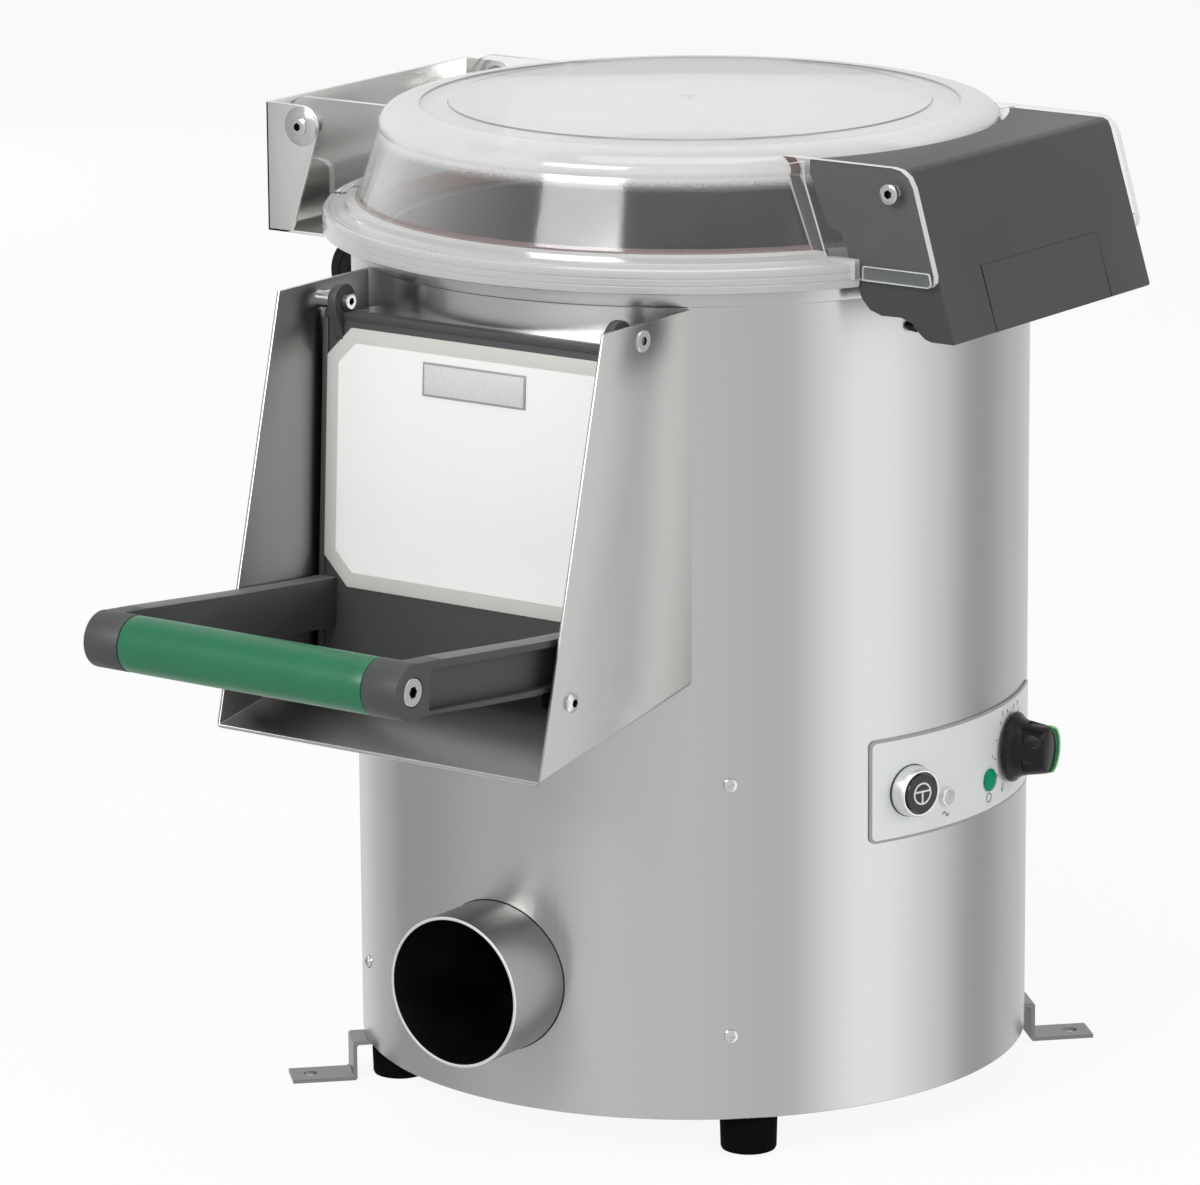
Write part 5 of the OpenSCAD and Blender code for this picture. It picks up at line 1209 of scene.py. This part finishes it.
def makeValve(s):
    coil = spun([(0, 0.6), (6.2, 0.6), (6.6, 0), (9.0, 0), (9.4, 0.7), (12.6, 0.7),
                 (13.0, 0.1), (15.6, 0.1), (16.0, 0.9), (16.6, 0.9), (17.6, 0.3), (18.3, 1.0),
                 (18.5, 2.0), (18.5, 6.0), (17.9, 6.6), (17.9, 8.4), (18.5, 9.0), (18.5, 13),
                 (17.9, 13.6), (17.9, 15.4), (18.5, 16), (18.5, 20), (17.9, 20.6),
                 (17.9, 22.4), (18.5, 23), (18.5, 36.6), (17.4, 38), (0, 38)], 56)
    moved(coil, forward(s["x"], s["y"], s["z"], back=True))
    piece("valveCoil", "machine", [(coil, blackMoulding)], ["valve_coil"])


makeValve(valveSizes)
print("water valve made")


dressed = {
    roundSteel: ["waste_pan"],
    innerSteel: ["peeling_drum", "discharge_frame"],
    plainSteel: ["base_plate", "catch_plate", "motor_mount", "latch_magnet", "rotor_plate"],
    boltSteel: ["foot_bolts", "door_spacers", "rotor_cap", "drive_shaft", "motor_shaft",
                "shaft_bearings"],
    grit: ["abrasive_lining", "rotor_abrasive"],
    footRubber: ["door_seal", "stop_buffers", "drive_belt"],
    motorPaint: ["motor", "bearing_housing"],
    pulleyMetal: ["rotor_pulley", "motor_pulley"],
    blackMoulding: ["cable_gland", "water_valve", "switch_block", "timer_body",
                    "control_box", "lid_sensor"],
}

for material, names in dressed.items():
    for name in names:
        kept = nodes[name]
        if not kept.material_slots:
            kept.data.materials.append(material)
        for slotIndex in range(len(kept.material_slots)):
            kept.material_slots[slotIndex].material = material
print("kept nodes dressed:", sum(len(names) for names in dressed.values()))


# the focal length is in pixels of a render that is 1200 of them wide
viewSizes = dict(azimuth=34.829065, distance=3.269873, height=1.042951, pitch=13.702191,
                 yaw=-0.816545, roll=-0.418654, focal=6636.21837, across=1200, sensor=36)


def swung(a, b, angle):
    # two directions turned in their own plane, the first toward the second
    return (math.cos(angle) * a + math.sin(angle) * b, math.cos(angle) * b - math.sin(angle) * a)


def makeCamera(s):
    az = math.radians(s["azimuth"])
    spot = Vector((math.sin(az) * s["distance"], -math.cos(az) * s["distance"], s["height"]))
    ahead = Vector((-math.sin(az), math.cos(az), 0))
    right = Vector((math.cos(az), math.sin(az), 0))
    up = Vector((0, 0, 1))
    yaw, pitch, roll = (math.radians(s[key]) for key in ("yaw", "pitch", "roll"))
    ahead, right = swung(ahead, right, yaw)
    ahead, up = swung(ahead, up, -pitch)
    right, up = swung(right, up, roll)
    data = bpy.data.cameras.new("view")
    data.sensor_width = s["sensor"]
    data.lens = s["focal"] / s["across"] * s["sensor"]
    data.clip_end = 50
    camera = shown("view", data)
    turned = Matrix((right, up, -ahead)).transposed().to_4x4()
    camera.matrix_world = Matrix.Translation(spot) @ turned
    bpy.context.scene.camera = camera


# how bright the studio's far side is round the machine, by its angle from the chute
roomGlow = ((-118, 0.92), (-100, 0.68), (-82, 0.48), (-59, 0.55), (-41, 0.68), (-15, 0.68),
            (5, 0.86), (35, 0.90), (60, 0.82), (70, 0.80), (78, 1.12), (92, 1.52), (106, 1.50),
            (120, 1.20), (132, 0.98), (141, 0.62), (152, 0.50), (170, 0.74), (200, 0.80))


def roomShade(finish, where):
    spread = finish.get("ShaderNodeTexGradient", {"gradient_type": "RADIAL"},
                        {"Vector": where}, output=1)
    stops = sorted((((azimuth + 90) / 360) % 1.0, glow) for azimuth, glow in roomGlow)
    return finish.ramp(spread, stops)


def makeFloor():
    bm = bmesh.new()
    bmesh.ops.create_grid(bm, x_segments=2, y_segments=2, size=14)
    mesh = bpy.data.meshes.new("studioFloor")
    bm.to_mesh(mesh)
    bm.free()
    floor = shown("studioFloor", mesh)
    pale = Finish("floorPale", (1, 1, 1))
    seen, through = pale.ray("Camera"), pale.ray("Transmission")
    speck = pale.noise(pale.place(), 3.0, 2.0)
    matt = pale.get("ShaderNodeBsdfDiffuse", {}, {
        "Color": pale.tint(speck, (0.80, 0.80, 0.80), (0.84, 0.84, 0.84))})
    glow = pale.get("ShaderNodeEmission", {}, {"Color": (1, 1, 1, 1), "Strength": 1.0})
    share = seen * 0.90 + through * 0.8
    white = pale.get("ShaderNodeMixShader", {}, {0: share, 1: matt, 2: glow})
    pale.add("ShaderNodeOutputMaterial", {}, {"Surface": white})
    mesh.materials.append(pale.material)
    floor.visible_glossy = False  # the steel mirrors the room below its foot too


def makeWorld():
    bpy.context.scene.world = bpy.data.worlds.new("studio")
    air = Finish("studio", (1, 1, 1), bpy.context.scene.world)
    seen, glossy, through = air.ray("Camera"), air.ray("Glossy"), air.ray("Transmission")
    where = air.get("ShaderNodeTexCoord", output="Generated")
    soft = air.get("ShaderNodeBackground", {}, {"Color": (1, 1, 1, 1), "Strength": 0.42})
    white = air.get("ShaderNodeBackground", {}, {"Color": (1, 1, 1, 1), "Strength": 1.0})
    room = air.get("ShaderNodeBackground", {}, {"Color": roomShade(air, where), "Strength": 1.0})
    first = air.get("ShaderNodeMixShader", {}, {0: glossy * 0.85, 1: soft, 2: room})
    direct = seen.calc("MAXIMUM", seen, through)
    both = air.get("ShaderNodeMixShader", {}, {0: direct, 1: first, 2: white})
    air.add("ShaderNodeOutputWorld", {}, {"Surface": both})


# azimuth, distance, height, width, tallness, power, and whether the steel mirrors it
lamps = dict(lampFront=(-5, 2.7, 1.75, 1.5, 1.0, 50, True),
             lampRight=(104, 2.7, 1.1, 2.0, 2.0, 23, False),
             lampRim=(-125, 2.7, 1.0, 0.8, 1.8, 8, False),
             lampTop=(20, 0.3, 2.7, 1.8, 1.8, 20, True))


def makeLamp(name, azimuth, distance, height, width, tall, power, inSteel):
    # a panel beside the machine, turned to the machine's middle
    az = math.radians(azimuth)
    spot = Vector((math.sin(az) * distance, -math.cos(az) * distance, height))
    data = bpy.data.lights.new(name, "AREA")
    data.shape = "RECTANGLE"
    data.size = width
    data.size_y = tall
    data.energy = power
    lamp = shown(name, data)
    lamp.location = spot
    ahead = (Vector((0, 0, 0.3)) - spot).normalized()
    lamp.rotation_euler = ahead.to_track_quat("-Z", "Y").to_euler()
    lamp.visible_glossy = inSteel


makeCamera(viewSizes)
makeFloor()
makeWorld()
for name, values in lamps.items():
    makeLamp(name, *values)
bpy.context.scene.view_settings.view_transform = "Standard"
print("studio made")
